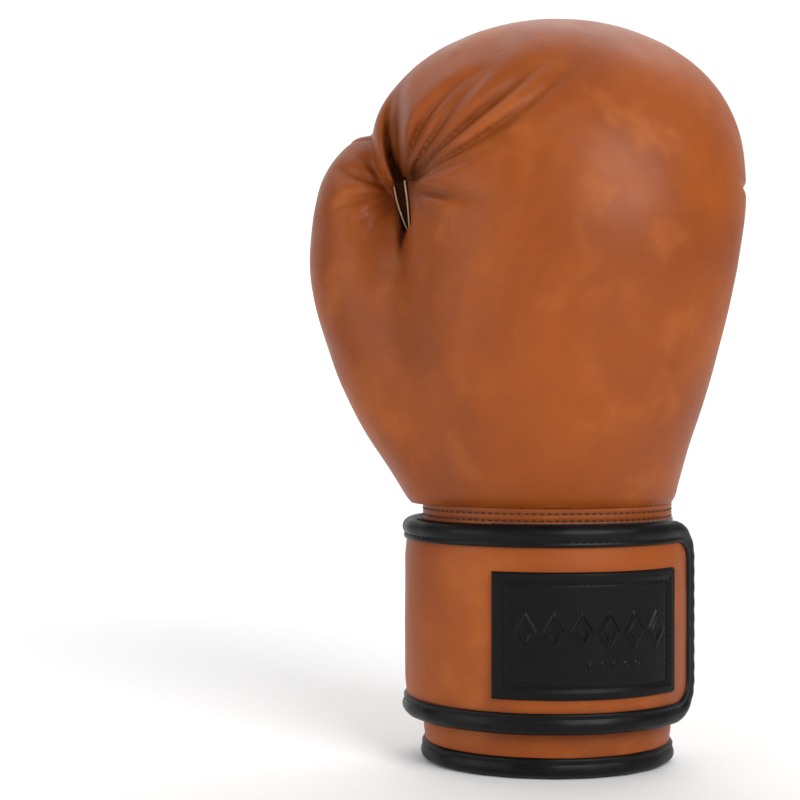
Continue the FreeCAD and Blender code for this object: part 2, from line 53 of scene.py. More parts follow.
# %%
# Making a mesh from whole arrays, and the few shapes of line that every sewn piece needs.


def new_piece(name, points, faces, material):
    """One object at the origin from points in millimetres and faces of three or four corners."""
    mesh = bpy.data.meshes.new(name)
    points = np.asarray(points, float) / 1000.0
    faces = [np.asarray(part) for part in (faces if isinstance(faces, list) else [faces])]
    corners = np.concatenate([part.ravel() for part in faces]).astype(np.int32)
    sides = np.concatenate([np.full(len(part), part.shape[1]) for part in faces])
    starts = np.concatenate([[0], np.cumsum(sides)[:-1]]).astype(np.int32)
    mesh.vertices.add(len(points))
    mesh.vertices.foreach_set("co", points.ravel())
    mesh.loops.add(len(corners))
    mesh.loops.foreach_set("vertex_index", corners)
    mesh.polygons.add(len(starts))
    mesh.polygons.foreach_set("loop_start", starts)
    mesh.polygons.foreach_set("use_smooth", np.ones(len(starts), bool))
    mesh.update(calc_edges=True)
    mesh.validate()
    piece = bpy.data.objects.new(name, mesh)
    bpy.context.scene.collection.objects.link(piece)
    mesh.materials.append(material)
    return piece


def weave(rows, columns, close_rows=False, close_columns=False):
    """Four-cornered faces over a grid of rows by columns, wrapped round where asked."""
    r = np.arange(rows if close_rows else rows - 1)
    c = np.arange(columns if close_columns else columns - 1)
    r, c = np.meshgrid(r, c, indexing="ij")
    r, c = r.ravel(), c.ravel()
    r2, c2 = (r + 1) % rows, (c + 1) % columns
    return np.stack([r * columns + c, r * columns + c2, r2 * columns + c2, r2 * columns + c], 1)


def facing_out(piece):
    """Turns every face of a closed piece outward."""
    work = bmesh.new()
    work.from_mesh(piece.data)
    bmesh.ops.recalc_face_normals(work, faces=work.faces)
    work.to_mesh(piece.data)
    work.free()
    return piece


def ease(t):
    """0 before 0, 1 after 1, and level at both ends."""
    t = np.clip(t, 0, 1)
    return t * t * (3 - 2 * t)


def valley_at(t, wide):
    """A valley or ridge of height 1 at 0 with a narrower bottom than a round hump."""
    return np.exp(-(np.abs(t) / wide) ** 1.35)


def bump_at(t, wide):
    """A round hump of height 1 at 0, gone beyond about twice its width."""
    return np.exp(-(t / wide) ** 2)


def through(t, knots, values):
    """Values along t with no corners: cubic runs from knot to knot, the slope at each knot being
    the mean slope of the runs beside it."""
    knots, values = np.asarray(knots, float), np.asarray(values, float)
    slope = np.gradient(values, knots)
    t = np.clip(t, knots[0], knots[-1])
    i = np.clip(np.searchsorted(knots, t, side="right") - 1, 0, len(knots) - 2)
    run = knots[i + 1] - knots[i]
    s = (t - knots[i]) / run
    return ((2 * s ** 3 - 3 * s ** 2 + 1) * values[i] + (s ** 3 - 2 * s ** 2 + s) * run * slope[i]
            + (3 * s ** 2 - 2 * s ** 3) * values[i + 1] + (s ** 3 - s ** 2) * run * slope[i + 1])


def noise(p, size, seed=0):
    """Soft uneven waves about 0: six sines in turned directions, of about the given size."""
    spin = np.random.default_rng(seed)
    total = 0
    for _ in range(6):
        way = spin.normal(size=3)
        way = way / np.linalg.norm(way) * (2 * math.pi / size) * spin.uniform(0.6, 1.3)
        total = total + np.sin(p @ way + spin.uniform(0, 6.3))
    return total / 6


def sewn(piece, slot, *nodes, body="glove", fill=None):
    """Sets a piece on the body it rides on and hides the frame's nodes it stands for; slot and fill
    are not used.
    """
    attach(piece, body)
    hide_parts(*nodes)
    return piece


print("makers ready")

# %% [markdown]
# ## Materials
# Each material is a small network of nodes. A wrapper lets the sums be written as sums.

# %%


class Flow:
    """A socket that can be added, multiplied and so on; each step makes one Math node."""

    def __init__(self, tree, socket):
        self.tree, self.socket = tree, socket

    def _math(self, kind, other, swap=False):
        node = self.tree.nodes.new("ShaderNodeMath")
        node.operation = kind
        pair = (other, self) if swap else (self, other)
        for entry, value in zip(node.inputs, pair):
            if isinstance(value, Flow):
                self.tree.links.new(value.socket, entry)
            elif value is not None:
                entry.default_value = value
        return Flow(self.tree, node.outputs[0])

    def __add__(self, other):
        return self._math("ADD", other)

    __radd__ = __add__

    def __sub__(self, other):
        return self._math("SUBTRACT", other)

    def __rsub__(self, other):
        return self._math("SUBTRACT", other, swap=True)

    def __mul__(self, other):
        return self._math("MULTIPLY", other)

    __rmul__ = __mul__

    def __truediv__(self, other):
        return self._math("DIVIDE", other)

    def power(self, other):
        return self._math("POWER", other)

    def angle_over(self, other):
        return self._math("ARCTAN2", other)


class Finish:
    """One material, its Principled shader and its nodes."""

    def __init__(self, name):
        self.material = bpy.data.materials.new(name)
        self.material.use_nodes = True
        self.tree = self.material.node_tree
        self.shader = self.tree.nodes["Principled BSDF"]

    def node(self, kind, settings=None, out=0, **inputs):
        """Any other node: its settings first, then its inputs by name, spaces as underscores."""
        made = self.tree.nodes.new(kind)
        for key, value in (settings or {}).items():
            setattr(made, key, value)
        for key, value in inputs.items():
            self.feed(made.inputs[key.replace("_", " ")], value)
        return Flow(self.tree, made.outputs[out])

    def feed(self, entry, value):
        if isinstance(value, Flow):
            self.tree.links.new(value.socket, entry)
        else:
            entry.default_value = value

    def place(self):
        """Object coordinates, in metres."""
        return self.node("ShaderNodeTexCoord", out=3)

    def cloud(self, where, scale, detail=3.0, rough=0.5, twist=0.0):
        return self.node("ShaderNodeTexNoise", Vector=where, Scale=scale, Detail=detail,
                         Roughness=rough, Distortion=twist)

    def cells(self, where, scale, feature="F1"):
        return self.node("ShaderNodeTexVoronoi", {"feature": feature}, Vector=where, Scale=scale)

    def spread(self, value, low, high, to_low=0.0, to_high=1.0):
        """A number carried smoothly from the span low to high onto the span to_low to to_high."""
        return self.node("ShaderNodeMapRange", {"clamp": True, "interpolation_type": "SMOOTHSTEP"},
                         Value=value, From_Min=low, From_Max=high, To_Min=to_low, To_Max=to_high)

    def mix(self, share, one, two):
        made = self.tree.nodes.new("ShaderNodeMix")
        made.data_type = "RGBA"
        self.feed(made.inputs["Factor"], share)
        self.feed(made.inputs[6], one)
        self.feed(made.inputs[7], two)
        return Flow(self.tree, made.outputs[2])

    def mark(self, name):
        """A number stored on the mesh, 0 where a mesh has none."""
        return self.node("ShaderNodeAttribute", {"attribute_name": name}, out=2)

    def gathers(self, where):
        """Fine wrinkles that run out from the thumb's tie, and how near to it a point is."""
        apart = self.tree.nodes.new("ShaderNodeSeparateXYZ")
        self.feed(apart.inputs[0], where)
        x, y, z = (Flow(self.tree, apart.outputs[k]) for k in range(3))
        u, v = x + 0.058, z - 0.230
        away = (u * u + v * v).power(0.5)
        around = v.angle_over(u)
        spot = self.node("ShaderNodeCombineXYZ", X=around * 11.0, Y=away * 45.0, Z=0.0)
        streaks = self.cloud(spot, 1.0, 3.0, 0.6)
        near = self.spread(away, 0.010, 0.062, 1.0, 0.0)
        return streaks, near * self.spread(y, -0.01, 0.01, 1.0, 0.0)

    def set(self, **values):
        for key, value in values.items():
            self.feed(self.shader.inputs[key.replace("_", " ")], value)

    def raise_by(self, height, strength, distance):
        """Small relief: height in units of distance, which is in metres."""
        made = self.node("ShaderNodeBump", Height=height, Strength=strength, Distance=distance)
        self.feed(self.shader.inputs["Normal"], made)


def colour(r, g, b):
    return (r, g, b, 1.0)


def tan_leather():
    """Waxed tan leather: mottled dye with lighter clouds, painted shade in creases, fine grain,
    wax.
    """
    f = Finish("tan_leather")
    where = f.place()
    patches = f.cloud(where, 17.0, 4.0, 0.55, 0.6)
    clouds = f.cloud(where, 46.0, 3.0, 0.5, 0.3)
    specks = f.cloud(where, 210.0, 2.0, 0.6)
    warm, deep = colour(0.305, 0.068, 0.0085), colour(0.235, 0.050, 0.007)
    light, dark = colour(0.400, 0.108, 0.018), colour(0.045, 0.010, 0.002)
    tone = f.mix(f.spread(patches, 0.36, 0.66), warm, deep)
    tone = f.mix(f.spread(clouds, 0.50, 0.74, 0.0, 0.50), tone, light)
    tone = f.mix(f.spread(specks, 0.35, 0.75, 0.0, 0.12), tone, deep)
    # Painted shade: the leather is darkened towards a deep brown where the mark stored on the mesh
    # is high, in folds, grooves and the gap by the thumb.
    tone = f.mix(f.mark("painted_shade"), tone, dark)
    grain = f.cells(where, 950.0, "SMOOTH_F1")
    pores = f.cloud(where, 2600.0, 2.0, 0.6)
    ripple = f.cloud(where, 120.0, 3.0, 0.5, 0.8)
    streaks, near = f.gathers(where)
    height = grain * 0.55 + pores * 0.30 + ripple * 0.9 + streaks * near * 3.2
    f.raise_by(height, 0.30, 0.00035)
    wear = f.spread(clouds, 0.3, 0.7, 0.0, 0.10)
    f.set(Base_Color=tone, Roughness=wear + 0.42, Specular_IOR_Level=0.17,
          Coat_Weight=f.spread(patches, 0.3, 0.7, 0.04, 0.10), Coat_Roughness=0.36)
    return f.material


def black_binding():
    """Smooth coated binding: near black, soft sheen, very fine grain."""
    f = Finish("black_binding")
    where = f.place()
    grain = f.cells(where, 1500.0, "SMOOTH_F1")
    cloud = f.cloud(where, 60.0)
    f.raise_by(grain * 0.6 + cloud * 1.2, 0.22, 0.00025)
    tone = f.mix(f.spread(cloud, 0.3, 0.7), colour(0.0022, 0.0022, 0.0024),
                 colour(0.0052, 0.0050, 0.0047))
    # Painted shade: the binding is darkened further where the mesh stores a shade mark.
    tone = f.mix(f.mark("painted_shade"), tone, colour(0.002, 0.002, 0.002))
    f.set(Base_Color=tone, Roughness=f.spread(cloud, 0.3, 0.7, 0.34, 0.46),
          Specular_IOR_Level=0.16)
    return f.material


def black_patch():
    """Moulded patch: black, slightly satin, with a fine even grain."""
    f = Finish("black_patch")
    where = f.place()
    grain = f.cells(where, 1250.0, "SMOOTH_F1")
    cloud = f.cloud(where, 90.0)
    f.raise_by(grain * 0.8 + cloud * 0.8, 0.20, 0.00025)
    shine = f.mark("shine")
    f.set(Base_Color=f.mix(cloud, colour(0.0016, 0.0016, 0.0018), colour(0.0040, 0.0038, 0.0036)),
          Roughness=0.44 - 0.22 * shine, Specular_IOR_Level=0.15)
    return f.material


def lining_cloth():
    """Smooth woven lining: a fine over-and-under weave in black."""
    f = Finish("lining_cloth")
    where = f.place()
    threads = f.node("ShaderNodeTexWave", {"bands_direction": "Z"}, Vector=where, Scale=620.0,
                     Distortion=0.6, out=1)
    across = f.node("ShaderNodeTexWave", {"bands_direction": "X"}, Vector=where, Scale=620.0,
                    Distortion=0.6, out=1)
    cloud = f.cloud(where, 70.0)
    f.raise_by(threads + across, 0.35, 0.0002)
    f.set(Base_Color=f.mix(cloud, colour(0.008, 0.008, 0.009), colour(0.022, 0.022, 0.024)),
          Roughness=0.82, Sheen_Weight=0.25)
    return f.material


def fuzzy_tape(name, scale):
    """Hook or loop tape: a mat of tiny tufts that catches no highlight."""
    f = Finish(name)
    where = f.place()
    tufts = f.cells(where, scale)
    f.raise_by(tufts, 0.9, 0.0006)
    f.set(Base_Color=f.mix(tufts, colour(0.030, 0.030, 0.032), colour(0.006, 0.006, 0.006)),
          Roughness=0.95, Sheen_Weight=0.4)
    return f.material


def thread(name, one, two):
    """Waxed thread, a little uneven in colour along its length."""
    f = Finish(name)
    where = f.place()
    cloud = f.cloud(where, 900.0)
    f.raise_by(f.cells(where, 3200.0), 0.4, 0.0001)
    f.set(Base_Color=f.mix(cloud, one, two), Roughness=0.6, Specular_IOR_Level=0.15)
    return f.material


def raw_leather():
    """Unfinished cut leather: pale, matt, with short fibres."""
    f = Finish("raw_leather")
    where = f.place()
    fibre = f.cloud(where, 700.0, 4.0, 0.7, 1.5)
    f.raise_by(fibre, 0.5, 0.0003)
    f.set(Base_Color=f.mix(fibre, colour(0.52, 0.33, 0.19), colour(0.70, 0.50, 0.33)),
          Roughness=0.85)
    return f.material


def foam():
    """Closed-cell foam: tiny round bubbles just under the skin."""
    f = Finish("closed_cell_foam")
    where = f.place()
    bubbles = f.cells(where, 1400.0)
    f.raise_by(bubbles, 0.6, 0.0004)
    f.set(Base_Color=f.mix(bubbles, colour(0.10, 0.10, 0.105), colour(0.17, 0.17, 0.175)),
          Roughness=0.9)
    return f.material


LEATHER, BINDING, PATCH = tan_leather(), black_binding(), black_patch()
CLOTH, RAW, FOAM = lining_cloth(), raw_leather(), foam()
HOOKS, LOOPS = fuzzy_tape("hook_tape", 1500.0), fuzzy_tape("loop_tape", 900.0)
BROWN_THREAD = thread("brown_thread", colour(0.045, 0.016, 0.007), colour(0.085, 0.032, 0.013))
BLACK_THREAD = thread("black_thread", colour(0.003, 0.003, 0.003), colour(0.009, 0.0085, 0.008))
print("materials ready")

# %% [markdown]
# ## The form of the fist and thumb
# The fist is a row of ovals: level ones up the wrist and palm, then a fan of them that turns
# about the palm crease, over the knuckles and down to the finger roll. The thumb is a stack of
# level ovals beside it. Each is a field: below 0 inside, above 0 outside, in about millimetres.

# %%
CREASE_Y, CREASE_Z = 36.0, 197.0
HOLE_X, HOLE_Z = -58.0, 230.0
LEVEL_Z = [98.0, 103.0, 106.5, 112.0, 122.0, 142.0, 170.0, 197.0]
LEVEL_BACK = [-39.5, -40.6, -43.6, -47.0, -52.0, -59.5, -66.0, -70.0]
LEVEL_PALM = [38.9, 39.6, 40.2, 39.6, 38.3, 36.8, 35.2, 34.0]
LEVEL_LEFT = [-49.3, -49.9, -51.8, -52.6, -53.2, -54.5, -58.0, -59.0]
LEVEL_RIGHT = [49.3, 49.9, 51.6, 52.6, 54.8, 60.4, 67.5, 73.0]
FAN_TURN = [0, 16, 32, 48, 64, 80, 96, 112, 128, 144, 160, 175, 188]
FAN_NEAR = [2, 2, 2, 2, 2, 2, 2, 2, 2, 2.3, 3, 4.5, 8]
FAN_FAR = [106, 108.5, 111.5, 113, 111.5, 105.5, 94.5, 80, 65, 51, 39, 29.5, 20.5]
FAN_LEFT = [-59, -62, -65.2, -69.8, -71.8, -71, -69.8, -68, -65.5, -62, -57.5, -51, -39]
FAN_RIGHT = [73, 76, 78, 79, 79, 78.5, 77.5, 76, 73.5, 70, 65.5, 59, 47]
THUMB_Z = [102, 110, 120, 130, 148, 166, 184, 200, 214, 228, 239.5, 248, 253, 256]
THUMB_X = [-44, -47, -51, -55.5, -62, -67, -71, -73, -73.5, -73.3, -72.8, -72, -71.2, -70.5]
THUMB_Y = [5, 6.5, 8, 9.5, 12, 14.5, 17, 19, 20.5, 21.8, 22.6, 23.2, 23.6, 24]
THUMB_WIDE = [8, 11.5, 15, 17.5, 20.5, 22.5, 24.2, 24.6, 23.8, 22.0, 18.8, 14.0, 9.5, 4.5]
THUMB_DEEP = [20, 24, 27, 29, 31, 32.3, 33, 32.7, 31.3, 28.8, 24.8, 19.0, 13.0, 6.5]


def oval(across, along, half_across, half_along, past=0.0, half_past=1.0):
    """How far outside an oval, or a ball where past is used: (q - 1) q / |slope of q|."""
    q = np.sqrt((across / half_across) ** 2 + (along / half_along) ** 2 + (past / half_past) ** 2)
    slope = np.sqrt((across / half_across ** 2) ** 2 + (along / half_along ** 2) ** 2
                    + (past / half_past ** 2) ** 2)
    q, slope = np.maximum(q, 0.02), np.maximum(slope, 0.02 / 80)
    return (q - 1) * q / slope


def join(one, two, soft):
    """The two together, with a fillet of about the given size where they meet."""
    share = np.clip(0.5 + 0.5 * (two - one) / soft, 0, 1)
    return two * (1 - share) + one * share - soft * share * (1 - share)


def fist_field(p):
    """Level ovals below the crease, the fan above it and round the roll."""
    x, y, z = p[..., 0], p[..., 1], p[..., 2]
    back, palm = through(z, LEVEL_Z, LEVEL_BACK), through(z, LEVEL_Z, LEVEL_PALM)
    left, right = through(z, LEVEL_Z, LEVEL_LEFT), through(z, LEVEL_Z, LEVEL_RIGHT)
    level = oval(x - (left + right) / 2, y - (back + palm) / 2, (right - left) / 2,
                 (palm - back) / 2)
    level = np.where(z > CREASE_Z, 60.0, level)
    away = np.hypot(y - CREASE_Y, z - CREASE_Z)
    turn = np.degrees(np.arctan2(z - CREASE_Z, CREASE_Y - y)) % 360.0
    in_fan = turn < 300
    turn = np.where(in_fan, turn, 0.0)
    past = away * np.sin(np.radians(np.clip(turn - 188.0, 0, 90)))
    reach = np.where(turn > 188, away * np.cos(np.radians(np.clip(turn - 188.0, 0, 90))), away)
    near, outer = through(turn, FAN_TURN, FAN_NEAR), through(turn, FAN_TURN, FAN_FAR)
    left, right = through(turn, FAN_TURN, FAN_LEFT), through(turn, FAN_TURN, FAN_RIGHT)
    fan = oval(x - (left + right) / 2, reach - (near + outer) / 2, (right - left) / 2,
               (outer - near) / 2, past, 7.0)
    fan = np.where(in_fan, fan, 60.0)
    edge = through(x, [-80, -62, -45, -30, -13, 10, 45, 90],
                   [256, 252, 237, 222, 209, 199, 194, 190])
    under = np.minimum(edge - z, y - 33.0) * 0.8
    fan = -join(-fan, -under, 9.0)
    return np.minimum(level, fan)


def thumb_field(p):
    """Level ovals that lean out from the wrist, closed at the tip."""
    x, y, z = p[..., 0], p[..., 1], p[..., 2]
    past = np.maximum(z - 253.0, 0)
    field = oval(x - through(z, THUMB_Z, THUMB_X), y - through(z, THUMB_Z, THUMB_Y),
                 through(np.minimum(z, 253.0), THUMB_Z, THUMB_WIDE),
                 through(np.minimum(z, 253.0), THUMB_Z, THUMB_DEEP), past, 3.5)
    return field


# %% [markdown]
# ### Creases
# The leather is gathered where the thumb is tied to the fist. The folds run out from that gap:
# long bowed ones up over the fist, short ones round the thumb. A fold is a narrow valley that
# is deepest near the gap and fades along its length.

# %%
# each fold: its direction at the gap in degrees from +X, how it bows, its length, width, depth
FIST_FOLDS = [
    (122, -26, 42, 2.4, 4.0), (106, -16, 46, 2.6, 4.6), (88, -30, 46, 2.5, 4.0),
    (60, -8, 46, 3.0, 5.6), (40, -1, 66, 3.0, 6.0), (20, 12, 70, 3.0, 5.0),
    (4, 14, 42, 2.2, 2.0), (-38, 18, 29, 2.2, 2.8), (-62, 8, 24, 1.8, 1.3),
]
THUMB_FOLDS = [
    (150, -12, 32, 2.6, 3.4), (168, -10, 34, 2.6, 3.6), (186, 10, 32, 2.4, 3.0),
    (206, 12, 30, 2.2, 2.2), (132, -8, 26, 2.2, 2.4), (226, 6, 26, 2.0, 1.5),
]
SEAM_FOLD = (-88, -4, 34, 1.9, 3.0)


def fold_depth(u, v, folds):
    """Depth of the folds at a point u across and v above the gap."""
    away = np.hypot(u, v) + 1e-6
    around = np.degrees(np.arctan2(v, u))
    total = 0.0
    for start, bow, long, wide, deep in folds:
        middle = start + bow * (away / long)
        aside = np.radians((around - middle + 180.0) % 360.0 - 180.0) * away
        width = wide * (0.55 + 0.75 * np.clip(away / long, 0, 1.3))
        along = ease((away - 2.0) / 5.0) * (1 - ease((away - 0.35 * long) / (0.9 * long)))
        puffs = bump_at(np.abs(aside) - 2.3 * width, 1.4 * width)
        total = total + deep * along * (valley_at(aside, width) - 0.30 * puffs)
    return total


def creases(p, on_thumb):
    """How deep the gathers lie at each point, in millimetres; on_thumb runs from 0 to 1."""
    x, y, z = p[..., 0], p[..., 1], p[..., 2]
    u, v = x - HOLE_X, z - HOLE_Z
    front = 1 - ease((y + 4.0) / 16.0)
    depth = fold_depth(u, v, FIST_FOLDS) * (1 - on_thumb)
    depth = depth + fold_depth(u, v, THUMB_FOLDS) * on_thumb
    depth = depth + fold_depth(u, v, [SEAM_FOLD])
    palm = ease((y - 30.0) / 8.0) * bump_at(z - 240.0, 22.0) * bump_at(x + 48.0, 20.0)
    puckers = 0.5 + 0.5 * np.sin((x * 0.55 + z * 0.30) + 1.5 * noise(p, 40.0, 5))
    return depth * front + 1.3 * palm * puckers ** 3


def hollow(p):
    """The gap between thumb and fist: an upright slot, wide above and pointed below."""
    x, y, z = p[..., 0], p[..., 1], p[..., 2]
    up = np.clip((z - 213.0) / 22.0, 0, 1)
    middle, half = -56.4 - 3.6 * up, 0.3 + 3.2 * np.sqrt(up) * (1 - 0.25 * up)
    ends = np.maximum(z - 235.0, 213.0 - z)
    slot = np.maximum(np.abs(x - middle) - half, ends)
    return np.maximum(slot, y - 2.0)


def seam_grooves(p):
    """Shallow grooves where panels are sewn: along the side, and down the thumb's welt."""
    x, y, z = p[..., 0], p[..., 1], p[..., 2]
    side = bump_at(y - 18.0, 1.3) * ease((196.0 - z) / 6.0) * ease((x - 20.0) / 10.0)
    top = bump_at(z - 193.0, 1.3) * ease((y - 14.0) / 6.0) * ease((42.0 - y) / 3.0)
    top = top * ease((x + 50.0) / 6.0)
    return 1.0 * np.maximum(side, top)


def glove_field(p, slit=True):
    """Fist and thumb joined, less the folds, the grooves, the gap and the slit."""
    x, y, z = p[..., 0], p[..., 1], p[..., 2]
    fist, thumb = fist_field(p), thumb_field(p)
    soft = through(z, [100, 130, 165, 190, 206, 222, 254], [14, 20, 25, 24, 19, 9, 2.2])
    soft = soft + (2.0 - soft) * ease((y - 4.0) / 20.0)
    both = plain = join(fist, thumb, soft)
    on_thumb = ease((fist - thumb) / 10.0 + 0.5)
    u, v = x - HOLE_X, z - HOLE_Z
    funnel = 9.0 * np.exp(-(np.hypot(u / 9.0, v / 15.0)) ** 1.5) * (1 - ease((y + 2.0) / 14.0))
    both = both + funnel + creases(p, on_thumb)
    both = both + 1.5 * bump_at(z - 229.0 + 0.2 * (x - 76.0), 1.8) * ease((x - 69.0) / 8.0)
    welt = bump_at(y - 30.0, 1.4) * on_thumb
    both = both + seam_grooves(p) * (1 - on_thumb) + 0.9 * welt
    both = both - 0.35 * noise(p, 46.0, 1) - 0.12 * noise(p, 15.0, 2)
    both = np.maximum(both, np.minimum(-hollow(p), plain + 11.0))
    if not slit:
        return both
    gap = np.hypot(x - 7.5, np.maximum(z - 137.5, 0)) - 7.4
    return np.maximum(both, -np.maximum(gap, 8.0 - y))


def slope_of(field, p, step=0.35):
    """The field's slope by differences, as vectors."""
    parts = []
    for axis in range(3):
        shift = np.zeros(3)
        shift[axis] = step
        parts.append((field(p + shift) - field(p - shift)) / (2 * step))
    return np.stack(parts, -1)


def settle(field, p, rounds=3):
    """Moves points onto the surface along the slope, at most a millimetre at a time."""
    for _ in range(rounds):
        slope = slope_of(field, p)
        size = np.sum(slope ** 2, -1, keepdims=True)
        move = -field(p)[..., None] * slope / np.maximum(size, 0.05)
        long = np.linalg.norm(move, axis=-1, keepdims=True)
        p = p + move * np.minimum(1, 1.0 / np.maximum(long, 1e-9))
    return p


def skin_points(field, low, high, step):
    """The field's surface as points and four-cornered faces, on a grid of the given step."""
    axes = [np.arange(a, b + step, step) for a, b in zip(low, high)]
    values = np.empty([len(axis) for axis in axes], np.float32)
    for k, z in enumerate(axes[2]):
        x, y = np.meshgrid(axes[0], axes[1], indexing="ij")
        values[:, :, k] = field(np.stack([x, y, np.full_like(x, z)], -1))
    grid = openvdb.FloatGrid(60.0)
    grid.copyFromArray(np.clip(values, -30, 60))
    points, quads = grid.convertToQuads(0.0)
    points = np.asarray(points, float) * step + np.array([axis[0] for axis in axes])
    return points, np.asarray(quads)


STEP = 1.25
points, quads = skin_points(glove_field, (-104, -80, 96), (90, 84, 308), STEP)
points = settle(glove_field, points)
print("leather skin:", len(points), "points")

# %% [markdown]
# ### Panels
# The skin is cut into its sewn panels along the seams, and each is given the leather's
# thickness, so that the cut edges show at the wrist and round the slit.

# %%


def store(piece, name, values):
    mark = piece.data.attributes.new(name, "FLOAT", "POINT")
    mark.data.foreach_set("value", np.asarray(values, np.float32))
    return piece


def points_of(piece):
    flat = np.empty(len(piece.data.vertices) * 3, np.float32)
    piece.data.vertices.foreach_get("co", flat)
    return flat.reshape(-1, 3).astype(float) * 1000.0


def paint_crease_shade(piece):
    """Painted shade where the leather folds in: from the folds' own depth, with more painted shade
    in the gap by the thumb's tie and in the seam grooves.
    """
    p = points_of(piece)
    on_thumb = ease((fist_field(p) - thumb_field(p)) / 10.0 + 0.5)
    dark = np.clip(creases(p, on_thumb) / 3.4, 0, 1) ** 1.1 * 0.46
    # painted shade in the dark gap between thumb and fist, on the front only
    near = np.exp(-(np.hypot((p[:, 0] - HOLE_X) / 5.0, (p[:, 2] - HOLE_Z) / 13.0)) ** 2)
    near = near * (p[:, 1] < 5)
    return store(piece, "painted_shade", np.clip(dark + 0.75 * near + 0.35 * seam_grooves(p), 0, 0.92))


def middles_of(faces):
    """The middle of each face, in millimetres."""
    return np.array([face.calc_center_median() for face in faces]) * 1000.0


SKIN_LOW, SIDE_SEAM_Y, THUMB_SEAM_Y, ROLL_SEAM_Z = 103.8, 18.0, 30.0, 193.0
whole = facing_out(new_piece("leather_skin", points, quads, LEATHER))
work = bmesh.new()
work.from_mesh(whole.data)
for high, way in ((SKIN_LOW, (0, 0, 1)), (SIDE_SEAM_Y, (0, 1, 0)), (THUMB_SEAM_Y, (0, 1, 0)),
                  (ROLL_SEAM_Z, (0, 0, 1))):
    bmesh.ops.bisect_plane(work, geom=work.verts[:] + work.edges[:] + work.faces[:], dist=1e-5,
                           plane_co=[part * high / 1000.0 for part in way], plane_no=way)
middles = middles_of(work.faces)
in_slit = np.hypot(middles[:, 0] - 7.5, np.maximum(middles[:, 2] - 137.5, 0)) < 8.6
unwanted = (middles[:, 2] < SKIN_LOW) | (in_slit & (middles[:, 1] > 7.0) & (middles[:, 1] < 32.0))
work.faces.ensure_lookup_table()
bmesh.ops.delete(work, geom=[work.faces[k] for k in np.flatnonzero(unwanted)], context="FACES")
middles = middles_of(work.faces)
thumb_side = thumb_field(middles) < fist_field(middles)
inner_thumb = thumb_side & (middles[:, 1] > THUMB_SEAM_Y)
palm = (~thumb_side & (middles[:, 1] > SIDE_SEAM_Y) & (middles[:, 1] < 42.0)
        & (middles[:, 2] < ROLL_SEAM_Z))
PANELS = {"back_and_thumb_leather": ~(inner_thumb | palm), "thumb_inner_leather": inner_thumb,
          "palm_leather": palm}


def cut_panel(name, chosen):
    """One panel of the skin, 1.1 mm thick, with the face as it was."""
    copy = work.copy()
    copy.faces.ensure_lookup_table()
    bmesh.ops.delete(copy, geom=[copy.faces[k] for k in np.flatnonzero(~chosen)],
                     context="FACES")
    mesh = bpy.data.meshes.new(name)
    copy.to_mesh(mesh)
    copy.free()
    mesh.polygons.foreach_set("use_smooth", np.ones(len(mesh.polygons), bool))
    piece = bpy.data.objects.new(name, mesh)
    bpy.context.scene.collection.objects.link(piece)
    mesh.materials.append(LEATHER)
    paint_crease_shade(piece)
    thick = piece.modifiers.new("thickness", "SOLIDIFY")
    thick.thickness, thick.offset = 0.0011, -1.0
    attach(piece, "glove")
    print(name, len(mesh.polygons), "faces")
    return piece


panels = {name: cut_panel(name, chosen) for name, chosen in PANELS.items()}
work.free()
bpy.data.objects.remove(whole)
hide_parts("back_shell", "thumb_back_panel",
            "impact_foam_outer", "impact_foam_core", "impact_foam_inner", "thumb_pad")
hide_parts("thumb_inner_panel")
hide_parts("palm_panel", "palm_pad")

# %% [markdown]
# ### Lining of the hand space
# A sewn cloth sack: the fist's own form, drawn in by the depth of the foam, flat behind the palm.

# %%


def hand_field(p):
    x, y, z = p[..., 0], p[..., 1], p[..., 2]
    sack = -join(27.0 - y, -(fist_field(p) + 24.0), 6.0) + 0.5 * noise(p, 26.0, 61)
    return np.maximum(sack, z - 240.0)


def cloth_sack():
    points, quads = skin_points(hand_field, (-60, -60, 98), (62, 36, 248), 3.0)
    sack = facing_out(new_piece("hand_lining_cloth", points, quads, CLOTH))
    work = bmesh.new()
    work.from_mesh(sack.data)
    low = [face for face in work.faces if face.calc_center_median().z < 0.1035]
    bmesh.ops.delete(work, geom=low, context="FACES")
    work.to_mesh(sack.data)
    work.free()
    thick = sack.modifiers.new("thickness", "SOLIDIFY")
    thick.thickness, thick.offset = 0.0008, -1.0
    return sewn(sack, "black_lining", "hand_lining")


print("hand lining", len(cloth_sack().data.polygons), "faces")

# %% [markdown]
# ## Round the cuff
# The cuff is an oval tube, so every sewn piece on it is laid out flat first: how far round, how
# high, and how far above the cuff's leather. One rule then wraps the flat layout onto the oval.

# %%
CUFF_RX, CUFF_RY = 49.5, 39.5
SLIT_X, SLIT_HALF, SLIT_TOP = 7.5, 5.5, 137.5


def wrap(turn, z, rise):
    """Points at polar angle turn in degrees, height z and rise above the cuff's leather."""
    turn, z, rise = np.broadcast_arrays(turn, z, rise)
    c, s = np.cos(np.radians(turn)), np.sin(np.radians(turn))
    reach = 1 / np.hypot(c / (CUFF_RX + rise), s / (CUFF_RY + rise))
    return np.stack([reach * c, reach * s, z], -1)


TURNS = np.linspace(-60, 420, 4801)
ROUND = wrap(TURNS, 0.0, 6.0)
RUN = np.concatenate([[0], np.cumsum(np.linalg.norm(np.diff(ROUND, axis=0), axis=1))])


def run_at(turn):
    """Length round the strap, in millimetres, at a polar angle."""
    return np.interp(turn, TURNS, RUN)


def turn_at(run):
    return np.interp(run, RUN, TURNS)


